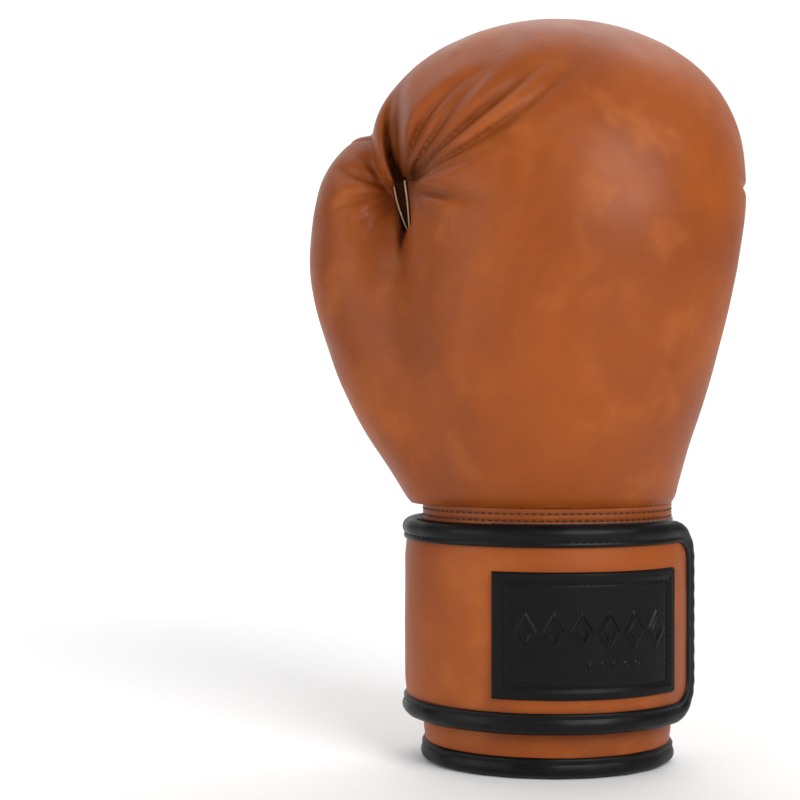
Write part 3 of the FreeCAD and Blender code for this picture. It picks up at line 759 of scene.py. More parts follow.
def sharp_rows(piece, where):
    """Keeps the edges hard where both ends are in the chosen points, as at a cut end."""
    mesh = piece.data
    ends = np.empty(len(mesh.edges) * 2, np.int32)
    mesh.edges.foreach_get("vertices", ends)
    hard = where[ends.reshape(-1, 2)].all(1)
    mark = mesh.attributes.get("sharp_edge") or mesh.attributes.new("sharp_edge", "BOOLEAN", "EDGE")
    mark.data.foreach_set("value", hard)
    return piece


def slab(name, outer, inner, material, hard_ends=True):
    """A closed sheet between two grids of points; its four sides are filled in."""
    rows, columns = outer.shape[:2]
    index = np.arange(rows * columns).reshape(rows, columns)
    loop = np.concatenate([index[0, :-1], index[:-1, -1], index[-1, :0:-1], index[:0:-1, 0]])
    after = np.roll(loop, -1)
    half = rows * columns
    faces = np.concatenate([weave(rows, columns), weave(rows, columns)[:, ::-1] + half,
                            np.stack([loop, loop + half, after + half, after], 1)])
    points = np.concatenate([outer.reshape(-1, 3), inner.reshape(-1, 3)])
    piece = facing_out(new_piece(name, points, faces, material))
    if hard_ends:
        ends = np.zeros((2, rows, columns), bool)
        ends[:, [0, -1], :] = True
        sharp_rows(piece, ends.ravel())
    return piece


def roll(name, rings, material, closed=False):
    """A closed tube from rings of points (rows, points round, 3), capped at both ends."""
    rows, columns = rings.shape[:2]
    faces = [weave(rows, columns, close_rows=closed, close_columns=True)]
    points = rings.reshape(-1, 3)
    if not closed:
        points = np.concatenate([points, rings[[0, -1]].mean(1)])
        a = np.arange(columns)
        b, last = (a + 1) % columns, (rows - 1) * columns
        middle = rows * columns
        faces.append(np.concatenate([
            np.stack([b, a, np.full(columns, middle)], 1),
            np.stack([last + a, last + b, np.full(columns, middle + 1)], 1)]))
    piece = facing_out(new_piece(name, points, faces, material))
    if not closed:
        ends = np.zeros(len(points), bool)
        ends[:columns] = ends[(rows - 1) * columns:] = True
        sharp_rows(piece, ends)
    return piece


def joined(name, pieces):
    """Several pieces of one material made into one."""
    work = bmesh.new()
    for piece in pieces:
        work.from_mesh(piece.data)
    mesh = bpy.data.meshes.new(name)
    work.to_mesh(mesh)
    work.free()
    for material in pieces[0].data.materials:
        mesh.materials.append(material)
    made = bpy.data.objects.new(name, mesh)
    bpy.context.scene.collection.objects.link(made)
    for piece in pieces:
        bpy.data.objects.remove(piece)
    return made


# %% [markdown]
# ### Stitches
# Every row of stitching is real thread: one small arched capsule for each stitch, at an even
# pitch, with both ends sunk into the leather.

# %%


def capsule(rings=5, around=6):
    """A capsule of half length 1 and radius 1, with closed poles: points and faces."""
    t = np.cos(np.linspace(math.pi * 0.88, math.pi * 0.12, rings))
    wide = np.sqrt(1 - t ** 4)
    a = np.linspace(0, 2 * math.pi, around, endpoint=False)
    rings_of = np.stack(np.broadcast_arrays(t[:, None], np.cos(a) * wide[:, None],
                                            np.sin(a) * wide[:, None]), -1).reshape(-1, 3)
    points = np.concatenate([rings_of, [[-1, 0, 0], [1, 0, 0]]])
    k = np.arange(around)
    n, end = (k + 1) % around, (rings - 1) * around
    poles = np.concatenate([np.stack([n, k, np.full(around, rings * around)], 1),
                            np.stack([end + k, end + n, np.full(around, rings * around + 1)], 1)])
    return points, weave(rings, around, close_columns=True), poles


def stitches(name, rows, material, pitch=2.9, long=2.1, thick=0.34):
    """Stitches along rows; a row is (points, outward directions). Each sits 0.1 mm proud."""
    unit, sides, poles = capsule()
    points, quads_all, tris_all, first = [], [], [], 0
    for path, out in rows:
        length = np.concatenate([[0], np.cumsum(np.linalg.norm(np.diff(path, axis=0), axis=1))])
        at = np.arange(pitch / 2, length[-1] - pitch / 2, pitch)
        pick = lambda values, where: np.stack([np.interp(where, length, values[:, k])
                                               for k in range(3)], -1)
        middle, up = pick(path, at), pick(out, at)
        way = pick(path, at + 0.4) - pick(path, at - 0.4)
        way /= np.linalg.norm(way, axis=1, keepdims=True)
        up -= np.sum(up * way, 1, keepdims=True) * way
        up /= np.linalg.norm(up, axis=1, keepdims=True)
        side = np.cross(way, up)
        lift = 0.12 - 0.30 * unit[:, 0] ** 2
        made = (middle[:, None] + unit[None, :, 0, None] * way[:, None] * long / 2
                + unit[None, :, 1, None] * side[:, None] * thick
                + (unit[None, :, 2, None] * thick * 0.8 + lift[None, :, None]) * up[:, None])
        starts = first + np.arange(len(at)) * len(unit)
        points.append(made.reshape(-1, 3))
        quads_all.append((starts[:, None, None] + sides[None]).reshape(-1, 4))
        tris_all.append((starts[:, None, None] + poles[None]).reshape(-1, 3))
        first += len(at) * len(unit)
    return facing_out(new_piece(name, np.concatenate(points),
                                [np.concatenate(quads_all), np.concatenate(tris_all)], material))


def sewn_row(name, rows, material):
    """Stitches that ride on the glove."""
    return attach(stitches(name, rows, material), "glove")


def row_round(turns, z, rise):
    """A row on the cuff: its points and the directions straight out from the oval."""
    path = wrap(turns, z, rise)
    out = wrap(turns, z, np.asarray(rise) + 1.0) - path
    return path, out


# %% [markdown]
# ## The palm's surface
# Pieces sewn to the palm are laid out in x and z, then dropped onto the palm from outside.

# %%


def whole_field(p):
    """The glove before the slit is cut."""
    return glove_field(p, slit=False)


def palm_y(x, z):
    """How far out the palm's leather is at each x and z: the first crossing from outside."""
    x, z = np.broadcast_arrays(np.asarray(x, float), np.asarray(z, float))
    reach = np.linspace(50.0, 8.0, 43)
    high = np.maximum(z, 104.5)
    values = whole_field(np.stack(np.broadcast_arrays(x[..., None], reach, high[..., None]), -1))
    inside = values < 0
    k = np.clip(np.argmax(inside, -1), 1, len(reach) - 1)
    one = np.take_along_axis(values, k[..., None] - 1, -1)[..., 0]
    two = np.take_along_axis(values, k[..., None], -1)[..., 0]
    share = np.clip(one / np.maximum(one - two, 1e-6), 0, 1)
    on_hand = reach[k - 1] + share * (reach[k] - reach[k - 1])
    on_cuff = CUFF_RY * np.sqrt(np.clip(1 - (x / CUFF_RX) ** 2, 0.02, 1))
    share = ease((z - 98.0) / 8.0)
    return on_cuff * (1 - share) + on_hand * share


def on_palm(x, z, rise):
    """Points on the palm, raised along the surface's own direction."""
    x, z = np.broadcast_arrays(np.asarray(x, float), np.asarray(z, float))
    y = palm_y(x, z)
    dx = (palm_y(x + 0.8, z) - palm_y(x - 0.8, z)) / 1.6
    dz = (palm_y(x, z + 0.8) - palm_y(x, z - 0.8)) / 1.6
    out = np.stack([-dx, np.ones_like(dx), -dz], -1)
    out /= np.linalg.norm(out, axis=-1, keepdims=True)
    return np.stack([x, y, z], -1) + out * np.asarray(rise)[..., None], out


def palm_row(x, z, rise=0.0):
    return on_palm(x, z, np.full(np.shape(x), rise))


def arch(half, low_left, low_right, count):
    """An upside-down U round the slit, from its left foot over the top to its right foot."""
    top = SLIT_TOP
    left, bend, right = top - low_left, math.pi * half, top - low_right
    t = np.linspace(0, left + bend + right, count)
    angle = math.pi - np.clip((t - left) / half, 0, math.pi)
    z = np.where(t < left, low_left + t, np.where(t > left + bend, top - (t - left - bend),
                                                  top + half * np.sin(angle)))
    return SLIT_X + half * np.cos(angle), z


# %% [markdown]
# ## Cuff
# Three leather panels over foam. Under the strap's root the little-finger panel is cut in an
# S-curve, so its lower edge sweeps up from the hem to meet the strap.

# %%


def hem_lift(turn):
    """How far the hem is lifted at a polar angle: nothing, then a curve up to the slit."""
    turn = (np.asarray(turn, float) + 60) % 360 - 60
    return np.where(turn < 84, 18.0 * ease((turn - 46.0) / 38.0),
                    14.0 * ease((104.0 - turn) / 17.0))


def hem_rise(turn):
    """How much further out the hem stands where it climbs beside the slit."""
    return 0.8 * (hem_lift(turn) / 9.0) * (turn > 360)


def cuff_wall(name, start, end, outer_rise, inner_rise, material, low=6.0, top=104.6, waves=0.25):
    turn = np.linspace(start, end, int(abs(end - start) * 1.3) + 8)[:, None]
    share = np.linspace(0, 1, 84)[None, :]
    z = low + hem_lift(turn) + share * (top - low - hem_lift(turn))
    puff = 0.55 * np.sin(np.clip((z - 8) / 11, 0, 1) * math.pi) ** 2
    flat = wrap(turn, z, 0.0)
    uneven = waves * noise(flat, 30.0, 11) + 0.4 * waves * noise(flat, 11.0, 12)
    edge = 0.25 * (bump_at(turn - start, 0.7) + bump_at(turn - end, 0.7))
    outer = wrap(turn, z, outer_rise + puff + uneven - edge)
    inner = wrap(turn, z, inner_rise)
    return slab(name, outer, inner, material)


def polar_of(x, y_sign=1):
    """The polar angle on the cuff's leather where it crosses a given x."""
    y = CUFF_RY * math.sqrt(1 - (x / CUFF_RX) ** 2) * y_sign
    return math.degrees(math.atan2(y, x)) % 360


walls = {"cuff_back_leather": (180.1, 359.9, "cuff_back_panel"),
         "cuff_thumb_side_leather": (polar_of(SLIT_X - 9.0), 179.9, "cuff_thumb_side_panel"),
         "cuff_finger_side_leather": (0.1, polar_of(SLIT_X + 9.0), "cuff_finger_side_panel")}
for name, (start, end, node) in walls.items():
    wall = cuff_wall(name, start, end, 0.0, -1.1, LEATHER)
    sewn(wall, "tan_leather", node, fill=0.9)
lining = cuff_wall("cuff_lining_cloth", polar_of(SLIT_X - 4.0), 360 + polar_of(SLIT_X + 4.0),
                   -8.4, -9.2, CLOTH, low=5.0, waves=0.8)
sewn(lining, "black_lining", "cuff_lining")

HEM = np.array([(8.2, 0.1), (8.0, 0.9), (7.3, 1.35), (6.5, 1.25), (6.0, 1.0), (5.4, 1.3),
                (4.2, 1.75), (2.9, 1.8), (1.6, 1.35), (0.6, 0.2), (0.05, -1.6), (0.0, -4.0),
                (0.0, -6.5), (0.3, -8.6), (1.2, -10.0), (3.0, -10.6), (5.6, -10.5), (7.8, -10.1),
                (8.2, -9.0), (7.4, -5.0), (7.4, -2.0)])
turn = np.linspace(polar_of(SLIT_X - 7.0), 360 + polar_of(SLIT_X + 10.5), 420)[:, None]
rise = HEM[None, :, 1] + hem_rise(turn) + 0.12 * np.sin(turn * 0.31)
hem = roll("hem_binding_roll", wrap(turn, HEM[None, :, 0] + hem_lift(turn), rise), BINDING)
sewn(hem, "black_binding", "hem_binding", fill=0.8)
turns = np.linspace(polar_of(SLIT_X - 8.5), 360 + polar_of(SLIT_X + 12.0), 500)
sewn_row("hem_stitches", [row_round(turns, 6.1 + hem_lift(turns), 1.0 + hem_rise(turns))],
         BLACK_THREAD)
print("cuff and hem sewn")

# %% [markdown]
# ### Wrist band
# A strip of leather sewn over the join of cuff and fist with two rows of dark thread.

# %%
BAND_LOW, BAND_HIGH, BAND_ROWS = 95.4, 105.2, (101.6, 98.9)
turn = np.linspace(146, 366, 300)[:, None]
share = np.linspace(0, 1, 15)[None, :]
z = BAND_LOW + share * (BAND_HIGH - BAND_LOW)
rise = 1.05 - 0.5 * bump_at(share, 0.06) - 0.5 * bump_at(share - 1, 0.06)
rise = rise - 0.30 * sum(bump_at(z - row, 0.7) for row in BAND_ROWS)
rise = rise + 0.12 * noise(wrap(turn, z, 0.0), 14.0, 21)
band = slab("wrist_band_leather", wrap(turn, z, rise), wrap(turn, z, 0.05), LEATHER)
# painted shade along the band's two stitch rows
shade = 0.5 * sum(bump_at(z - row, 0.8) for row in BAND_ROWS) + 0 * turn
store(band, "painted_shade", np.tile(shade.ravel(), 2))
sewn(band, "tan_leather", "wrist_band")
turns = np.linspace(147, 365, 500)
sewn_row("wrist_band_stitches", [row_round(turns, row, 0.75) for row in BAND_ROWS], BROWN_THREAD)

# %% [markdown]
# ## Slit in the palm
# An arch-shaped facing is sewn flat on the palm, and a rolled black binding lines the slit that
# lets the hand in. Both run over the round end of the slit and down to the hem.

# %%
across = np.linspace(0, 1, 26)
half = 8.6 + across * (25.5 - 8.6)
grids = [arch(h, 9.0, 12.0, 260) for h in half]
x, z = np.stack([g[0] for g in grids]), np.stack([g[1] for g in grids])
foot = 8.0 + hem_lift(np.degrees(np.arctan2(palm_y(x, z * 0 + 50.0), x)))
z = np.maximum(z, np.minimum(foot, 60.0))
edge = bump_at(across - 1, 0.045)[:, None]
rise = 1.10 - 0.75 * edge - 0.30 * bump_at((half - 23.4)[:, None], 0.8) + 0 * x
outer, out = on_palm(x, z, rise)
inner = on_palm(x, z, rise * 0 - 0.4)[0]
facing = slab("palm_arch_leather", outer, inner, LEATHER, hard_ends=False)
# painted shade along the dip near the facing's stitch rows
store(facing, "painted_shade", np.tile((0.45 * bump_at((half - 23.4)[:, None], 0.8) + 0 * x).ravel(), 2))
sewn(facing, "tan_leather", "palm_arch_facing")

ROLL = np.array([(0.2, -10.0), (0.0, -6.0), (-0.1, -1.5), (0.1, 0.9), (0.8, 2.1), (1.9, 2.6),
                 (3.0, 2.2), (3.8, 1.2), (4.1, 0.0), (3.6, -1.0), (2.4, -2.5), (1.8, -6.0),
                 (1.6, -10.0)])


def slit_roll(name, low_left, low_right, count):
    """The binding's section carried along the slit's edge."""
    x, z = arch(SLIT_HALF, low_left, low_right, count)
    path, out = palm_row(x, z)
    way = np.gradient(path, axis=0)
    way /= np.linalg.norm(way, axis=1, keepdims=True)
    out = out * [0.25, 1, 0.25]
    side = np.cross(out, way)
    side /= np.linalg.norm(side, axis=1, keepdims=True)
    side *= np.sign(np.sum(side * np.stack([x - SLIT_X, 0 * x, np.maximum(z - SLIT_TOP, 0)], -1),
                           1, keepdims=True))
    rings = path[:, None] + ROLL[None, :, :1] * side[:, None] + ROLL[None, :, 1:] * out[:, None]
    return roll(name, rings, BINDING)


sewn(slit_roll("slit_binding_roll", 17.0, 26.0, 300), "black_binding", "slit_binding",
     "slit_binding_low", fill=0.8)
print("slit bound")

# %% [markdown]
# ### Stitched seams of the palm
# Double rows hold the facing, the roll of the fingers and the thumb's gusset.

# %%


def bent_row(x_knots, z_knots, count=260, rise=0.0):
    t = np.linspace(0, len(x_knots) - 1, count)
    knots = np.arange(len(x_knots))
    return palm_row(through(t, knots, x_knots), through(t, knots, z_knots), rise)


facing_rows = [palm_row(*arch(half, 11.0, low, 400), rise)
               for half, low, rise in ((24.0, 16.0, 0.85), (22.3, 18.0, 0.95))]
seam_rows = [bent_row([-42, -20, 5, 29, 44], [190, 184, 176, 170, 166]),
             bent_row([-42, -20, 5, 29, 44], [187.5, 181.5, 173.5, 167.5, 163.5]),
             bent_row([-41, -40.5, -43, -47, -48], [184, 160, 135, 115, 104]),
             bent_row([-43.5, -43, -45.3, -49, -50.2], [184, 160, 135, 115, 104])]
sewn_row("facing_stitches", facing_rows, BROWN_THREAD)
sewn_row("palm_stitches", seam_rows, BROWN_THREAD)

# %% [markdown]
# ## Strap
# The strap starts sewn to the little-finger side of the slit, goes over the slit, round the
# thumb side and across the back, and its tab closes on the loop tape. It is laid out flat with
# its binding, then wrapped. It is made in five lengths, each cut midway between two of its
# five bends.

# %%
LOW, HIGH, BIND, CORNER = 18.0, 98.0, 8.6, 17.0
TAB_END = run_at(351.0)
JOINTS = [68.5, 104.0, 143.0, 184.0, 227.0]
CUTS = [60.0, 86.25, 123.5, 163.5, 205.5, 351.0]


def ramp(turn):
    """The strap lies down onto the cuff where it is sewn, and stands its full height after."""
    return ease((turn - 58.0) / 20.0)


def strap_point(run, z, rise):
    turn = turn_at(run)
    full = ramp(turn)
    lifted = 1.4 * ease((turn - 334.0) / 17.0)
    return wrap(turn, z, rise * (0.30 + 0.70 * full) - 0.4 * (1 - full) + lifted)


def low_edge(run):
    """The strap's lower edge: level, but swept down to the hem where it is sewn on."""
    return LOW * ease((turn_at(run) - 46.0) / 38.0)


def strap_ride(piece, k):
    """Bakes a length of strap's placement into its mesh; the turns and points of its bend are
    worked out but not used.
    """
    if k == 0:
        turns = (JOINTS[0] - 5.0, JOINTS[0] + 9.0)
    else:
        turns = (JOINTS[k] - 11.0, JOINTS[k] + 11.0)
    start, end = (wrap(np.array(t), 58.0, 3.0) / 1000.0 for t in turns)
    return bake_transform(piece)


def strap_leather(k):
    """The padded face: a little crowned, its end rounded inside the tab's binding."""
    start, end = run_at(CUTS[k]), run_at(CUTS[k + 1])
    last = k == len(JOINTS) - 1
    if last:
        end -= BIND - 1.2
    share = np.linspace(0, 1, int((end - start) / (0.9 if last else 1.3)) + 2)
    share = share if not last else 1 - (1 - share) ** 1.25
    run = (start + share * (end - start))[:, None]
    round_end = CORNER - BIND + 1.0
    short = np.maximum(run - (end - round_end), 0) if last else 0 * run
    half = (HIGH - LOW) / 2 - BIND + 1.2
    half = half - (round_end - np.sqrt(np.maximum(round_end ** 2 - short ** 2, 0)))
    across = np.linspace(-1, 1, 64)[None, :]
    z = (HIGH + LOW) / 2 + across * half
    z = z + (low_edge(run) - LOW) * np.clip(1 - (z - 26.0) / 40.0, 0, 1)
    flat = wrap(turn_at(run), z, 6.0)
    inset = np.minimum(half - np.abs(z - 58.0), (end - run) if last else 99.0)
    rise = 7.55 + 0.75 * ease(inset / 9.0) + 0.20 * noise(flat, 26.0, 31)
    rise = rise + 0.07 * noise(flat, 9.0, 32)
    outer, inner = strap_point(run, z, rise), strap_point(run, z, 3.65 + 0 * rise)
    piece = slab("strap_leather_face_%d" % (k + 1), outer, inner, LEATHER)
    # painted shade on the face where it runs in under the binding
    shade = 0.42 * np.exp(-np.maximum(inset - 1.0, 0) / 0.9)
    return store(piece, "painted_shade", np.tile(shade.ravel(), 2))


# the binding's section: how far in from the strap's edge, and how high
FOLD = np.array([(8.6, 7.6), (8.5, 8.35), (8.0, 8.75), (7.3, 8.7), (6.75, 8.25), (6.2, 8.45),
                 (5.2, 8.95), (4.0, 9.2), (2.8, 9.05), (1.6, 8.4), (0.6, 7.3), (0.05, 6.0),
                 (0.3, 4.7), (1.2, 3.6), (2.8, 3.05), (5.0, 2.98), (8.2, 3.0), (8.6, 3.6)])
STITCH_IN, STITCH_RISE = 6.75, 8.25


def tab_path(start, count):
    """The strap's edge round its tab: along the top, round the end, back along the bottom."""
    side, bend = TAB_END - CORNER - start, math.pi / 2 * CORNER
    down = HIGH - LOW - 2 * CORNER
    marks = np.cumsum([0, side, bend, down, bend, side])
    t = np.linspace(0, marks[-1], count)
    one = np.clip((t - marks[1]) / CORNER, 0, math.pi / 2)
    two = np.clip((t - marks[3]) / CORNER, 0, math.pi / 2)
    run = start + np.clip(t, 0, side) + CORNER * np.sin(one) - CORNER * (1 - np.cos(two))
    run = run - np.clip(t - marks[4], 0, side)
    z = HIGH - CORNER * (1 - np.cos(one)) - np.clip(t - marks[2], 0, down) - CORNER * np.sin(two)
    inward = np.stack([-np.sin(one) * (t <= marks[3]) - np.cos(two) * (t > marks[3]),
                       -np.cos(one) * (t <= marks[3]) + np.sin(two) * (t > marks[3])], -1)
    return run, z, inward


def straight_path(start, end, high, count):
    run = np.linspace(start, end, count)
    return (run, np.full(count, HIGH) if high else low_edge(run),
            np.tile([0.0, -1.0 if high else 1.0], (count, 1)))


def fold_rings(run, z, inward, section=FOLD, thin=1.0):
    """Rings of the binding's section along an edge path laid out flat."""
    depth = section[None, :, 0] * np.asarray(thin)[..., None]
    uneven = 0.10 * np.sin(run * 0.45)[:, None] + 0.08 * np.sin(run * 0.19 + z)[:, None]
    return strap_point(run[:, None] + depth * inward[:, :1], z[:, None] + depth * inward[:, 1:],
                       section[None, :, 1] + uneven * (section[None, :, 0] < 6))


def strap_row(run, z, rise):
    """A row on the strap: its points and the directions straight out from it."""
    path = strap_point(run, z, rise)
    return path, strap_point(run, z, rise + 1.0) - path


def stitch_row(run, z, inward):
    """The binding's stitches, a fixed way in from the strap's edge."""
    return strap_row(run + STITCH_IN * inward[:, 0], z + STITCH_IN * inward[:, 1], STITCH_RISE)


def strap_lining(k):
    start, end = run_at(CUTS[k]), run_at(CUTS[k + 1])
    if k == len(JOINTS) - 1:
        end -= BIND - 0.6
    run = np.linspace(start, end, int((end - start) / 2) + 2)[:, None]
    z = np.linspace(LOW + BIND - 0.6, HIGH - BIND + 0.6, 30)[None, :]
    z = z + (low_edge(run) - LOW) * np.clip(1 - (z - 26.0) / 40.0, 0, 1)
    if k == len(JOINTS) - 1:
        short = np.maximum(run - (end - 9.0), 0)
        z = 58.0 + (z - 58.0) * (1 - (9.0 - np.sqrt(81.0 - np.minimum(short, 9.0) ** 2)) / 32.0)
    rise = 3.05 + 0.04 * noise(wrap(turn_at(run), z, 3.0), 8.0, 41)
    return slab("strap_lining_cloth_%d" % (k + 1), strap_point(run, z, 3.55 + 0 * rise),
                strap_point(run, z, rise), CLOTH)


def root_top(count=90):
    """The top binding of the first length: along the strap, then turned up into the slit."""
    high_run = run_at(CUTS[1])
    stop = run_at(polar_of(SLIT_X + SLIT_HALF - 2.2))
    bend = 7.5
    side = high_run - stop - bend
    marks = np.cumsum([0, side, math.pi / 2 * bend, 10.0])
    t = np.linspace(0, marks[-1], count)
    one = np.clip((t - marks[1]) / bend, 0, math.pi / 2)
    run = high_run - np.clip(t, 0, side) - bend * np.sin(one)
    z = HIGH + bend * (1 - np.cos(one)) + np.clip(t - marks[2], 0, 10.0)
    inward = np.stack([-np.sin(one), -np.cos(one)], -1)
    thin = 1 - 0.5 * ease((t - marks[1] + 3) / (marks[2] - marks[1] + 3))
    return run, z, inward, thin, ease((t - marks[1]) / (marks[3] - marks[1]))


for k in range(len(JOINTS)):
    number = k + 1
    part = "root" if k == 0 else "length_%d" % k
    nodes = [part] + (["tab"] if k == 4 else [])
    face, inside = strap_leather(k), strap_lining(k)
    start, end = run_at(CUTS[k]), run_at(CUTS[k + 1])
    if k == 4:
        path = tab_path(start, 520)
        trim = roll("strap_binding_roll_%d" % number, fold_rings(*path), BINDING)
        rows = [stitch_row(*path)]
    elif k == 0:
        run, z, inward, thin, climb = root_top()
        rings = fold_rings(run, z, inward, thin=thin)
        low_path = straight_path(run_at(63.0), end, False, 60)
        flat = palm_row(rings[:, 7, 0], rings[:, 7, 2])[0]
        rings[..., 1] += (flat[:, None, 1] + 2.4 - rings[:, 7:8, 1]) * climb[:, None]
        trim = joined("strap_binding_roll_1", [roll("top", rings, BINDING),
                                               roll("low", fold_rings(*low_path), BINDING)])
        flat_part = climb <= 0
        rows = [stitch_row(run[flat_part], z[flat_part], inward[flat_part]),
                stitch_row(*low_path)]
    else:
        paths = [straight_path(start, end, high, 90) for high in (True, False)]
        trim = joined("strap_binding_roll_%d" % number,
                      [roll("edge", fold_rings(*path), BINDING) for path in paths])
        rows = [stitch_row(*path) for path in paths]
    thread_row = stitches("strap_stitches_%d" % number, rows, BLACK_THREAD, 3.0, 2.2, 0.36)
    for piece, finish in ((face, "tan_leather"), (trim, "black_binding"),
                          (inside, "black_lining"), (thread_row, "black_binding")):
        strap_ride(piece, k)
    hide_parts(*["strap_%s_%s" % (kind, n) for kind in ("leather", "core") for n in nodes])
    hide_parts(*["strap_binding_" + n for n in nodes])
    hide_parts(*["strap_lining_" + n for n in nodes])
print("strap made in", len(JOINTS), "lengths")

# two rows that sew the strap's root down
root_rows = []
for x_at in (17.6, 20.0):
    z = np.linspace(26.0, 90.0, 60)
    root_rows.append(strap_row(np.full(60, run_at(polar_of(x_at))), z, 8.25))
sewn_row("root_stitches", root_rows, BROWN_THREAD)

# %% [markdown]
# ### Patch
# A moulded patch with a flat raised rim, a stitched line just inside it, and a plain pattern
# pressed into the middle: six lozenges over a short row of dots.

# %%
P_START, P_END, P_LOW, P_HIGH = run_at(240.0), run_at(328.4), 31.7, 80.2


def pressed(run, z):
    """Height of the pressed pattern, 0 to 1: outlined lozenges, and dots below them."""
    total = 0 * run
    middle = (P_START + P_END) / 2 + 0.8
    for k in range(6):
        far = np.abs(run - middle - (k - 2.5) * 10.0) / 4.5 + np.abs(z - 57.5) / 8.4
        total = np.maximum(total, ease((1.0 - far) * 3.9 / 0.9) - 0.55 * ease((0.62 - far) * 3.2))
    for k in range(5):
        far = np.hypot(run - middle - 7.0 - (k - 2) * 4.6, z - 45.0)
        total = np.maximum(total, 0.8 * ease((1.35 - far) / 0.8))
    return total


count = ((230, 150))
run = np.linspace(P_START, P_END, count[0])[:, None]
z = np.linspace(P_LOW, P_HIGH, count[1])[None, :]
run, z = np.broadcast_arrays(run, z)
inset = np.minimum(np.minimum(run - P_START, P_END - run), np.minimum(z - P_LOW, P_HIGH - z))
rim = ease(inset / 0.7) * (1 - 0.42 * ease((inset - 3.0) / 0.7))
groove = bump_at(inset - 4.7, 0.55)
shape = pressed(run, z)
crown = 0.35 * noise(wrap(turn_at(run), z, 8.0), 34.0, 51)
rise = 8.55 + 1.15 * rim - 0.22 * groove + 0.75 * shape + 0.3 * crown
patch = slab("patch_moulded", strap_point(run, z, rise), strap_point(run, z, 7.9 + 0 * rise),
             PATCH, hard_ends=False)
store(patch, "shine", np.tile(np.clip(shape, 0, 1).ravel(), 2))
sewn(patch, "black_patch", "strap_patch", body="strap_tab")
IN = 4.7
corner_run = np.array([P_START + IN, P_END - IN, P_END - IN, P_START + IN, P_START + IN])
corner_z = np.array([P_HIGH - IN, P_HIGH - IN, P_LOW + IN, P_LOW + IN, P_HIGH - IN])
rows = []
for k in range(4):
    share = np.linspace(0, 1, 80)
    run = corner_run[k] + share * (corner_run[k + 1] - corner_run[k])
    z = corner_z[k] + share * (corner_z[k + 1] - corner_z[k])
    rows.append(strap_row(run, z, 9.15))
row = stitches("patch_stitches", rows, BLACK_THREAD, 2.3, 1.7, 0.30)
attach(row, "strap_tab")
print("patch pressed")

# %% [markdown]
# ### Tether
# A short strip of leather ties the thumb to the fist. It is folded to a V in the gap, so its raw
# cut edges show.

# %%
t = np.linspace(0, 1, 60)
x = through(t, [0, 0.25, 0.5, 0.75, 1], [-62.6, -60.4, -56.4, -56.6, -57.9])
z = through(t, [0, 0.25, 0.5, 0.75, 1], [234.0, 224.0, 213.5, 223.0, 233.0])
way = np.stack([np.gradient(x), np.gradient(z)], -1)
way /= np.linalg.norm(way, axis=1, keepdims=True)
THICK = 0.28
front = through(t, [0, 0.25, 0.5, 0.75, 1], [-4.0, -3.2, -7.0, -11.5, -13.5])
section = np.array([(-THICK, 0.0), (-THICK * 0.6, -0.3), (THICK * 0.6, -0.3), (THICK, 0.0),
                    (THICK, 4.0), (THICK, 9.0), (-THICK, 9.0), (-THICK, 4.0)])
rings = np.stack([x[:, None] - section[None, :, 0] * way[:, 1:],
                  front[:, None] + section[None, :, 1],
                  z[:, None] + section[None, :, 0] * way[:, :1]], -1)
sewn(roll("thumb_tether_strip", rings, RAW), "raw_leather_tether", "thumb_tether")

# %% [markdown]
# ### Finishes for the pieces of the frame that stay
# Foams, inner linings, tapes, the anchor pad and the grip bar keep their frame shapes.

# %%
KEPT = [("foam", FOAM), ("core", FOAM), ("pad", FOAM), ("lining", CLOTH), ("sleeve", CLOTH),
        ("hook_tape", HOOKS), ("loop_tape", LOOPS), ("anchor_pad", LEATHER)]
for name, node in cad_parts.items():
    finish = [material for word, material in KEPT if word in name]
    node.data.materials.clear()
    node.data.materials.append(finish[-1] if finish else LEATHER)

# %% [markdown]
# ## Floor, light and camera
# A plain pale floor that turns up into a plain pale wall, broad soft lights, and the camera
# level with the middle of the glove.

# %%


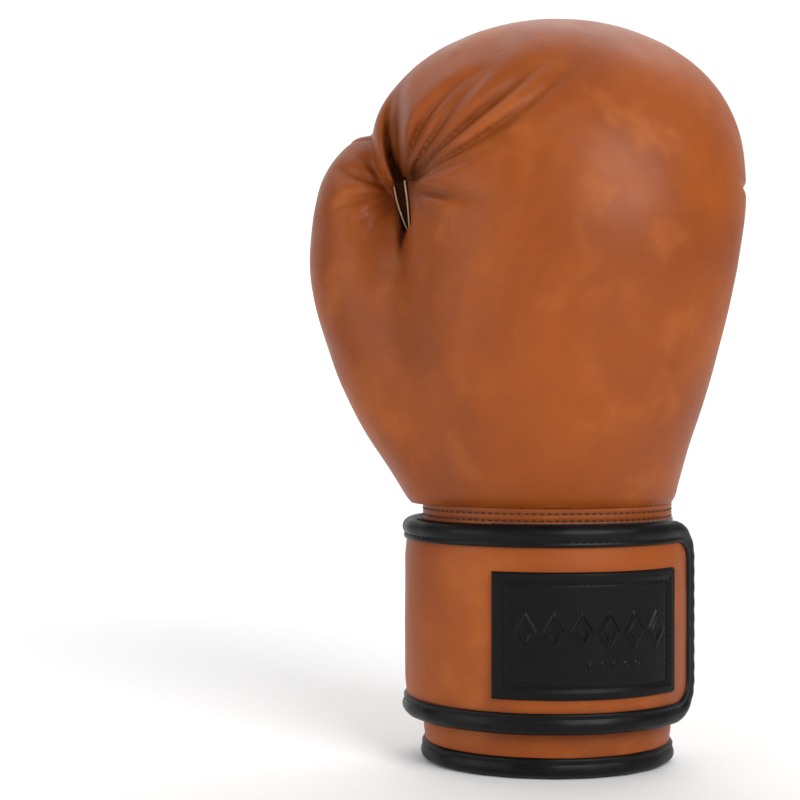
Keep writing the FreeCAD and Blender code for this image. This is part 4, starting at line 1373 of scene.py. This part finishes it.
def pale_floor():
    """A floor that sweeps up behind into a wall, in one bend."""
    run = np.linspace(0, 4500, 120)
    bend = np.clip((run - 2200) / 500, 0, math.pi / 2)
    y = -1500 + np.minimum(run, 2200) + 500 * np.sin(bend)
    z = 500 * (1 - np.cos(bend)) + np.maximum(run - 2200 - 250 * math.pi, 0)
    x = np.linspace(-2200, 2200, 30)
    grid = np.stack(np.broadcast_arrays(x[None, :], y[:, None], z[:, None]), -1).reshape(-1, 3)
    f = Finish("pale_floor")
    where = f.place()
    f.set(Base_Color=f.mix(f.cloud(where, 3.0), colour(0.92, 0.92, 0.92), colour(0.95, 0.95, 0.95)),
          Roughness=0.8)
    floor = new_piece("pale_floor", grid, weave(120, 30), f.material)
    floor.location.z = -0.0002
    return floor


def soft_light(name, place, aim, size, power):
    lamp = bpy.data.lights.new(name, "AREA")
    lamp.shape, lamp.size, lamp.size_y = "RECTANGLE", size[0], size[1]
    lamp.energy = power
    made = bpy.data.objects.new(name, lamp)
    made.location = place
    made.rotation_euler = (Vector(aim) - Vector(place)).to_track_quat("-Z", "Y").to_euler()
    bpy.context.scene.collection.objects.link(made)
    return made


pale_floor()
world = bpy.data.worlds.new("studio")
world.use_nodes = True
world.node_tree.nodes["Background"].inputs["Color"].default_value = (1, 1, 1, 1)
world.node_tree.nodes["Background"].inputs["Strength"].default_value = 0.32
bpy.context.scene.world = world
soft_light("key", (0.55, -0.95, 0.75), (0.0, 0.0, 0.17), (0.65, 0.65), 12.5)
soft_light("fill", (-1.2, -0.7, 0.45), (0.0, 0.0, 0.15), (1.0, 1.0), 7.0)
soft_light("back", (0.2, 0.75, 1.1), (0.0, 0.0, 0.2), (1.0, 0.6), 2.0)
soft_light("wall", (-0.2, 0.55, 1.3), (-0.2, 1.2, 0.2), (2.0, 0.5), 9.0)

lens = bpy.data.cameras.new("camera")
lens.lens, lens.sensor_width = 70.6, 36.0
camera = bpy.data.objects.new("camera", lens)
camera.location = (-0.0598, -0.640, 0.1453)
camera.rotation_euler = (math.radians(90), 0, 0)
bpy.context.scene.collection.objects.link(camera)
bpy.context.scene.camera = camera
bpy.context.scene.view_settings.view_transform = "Standard"
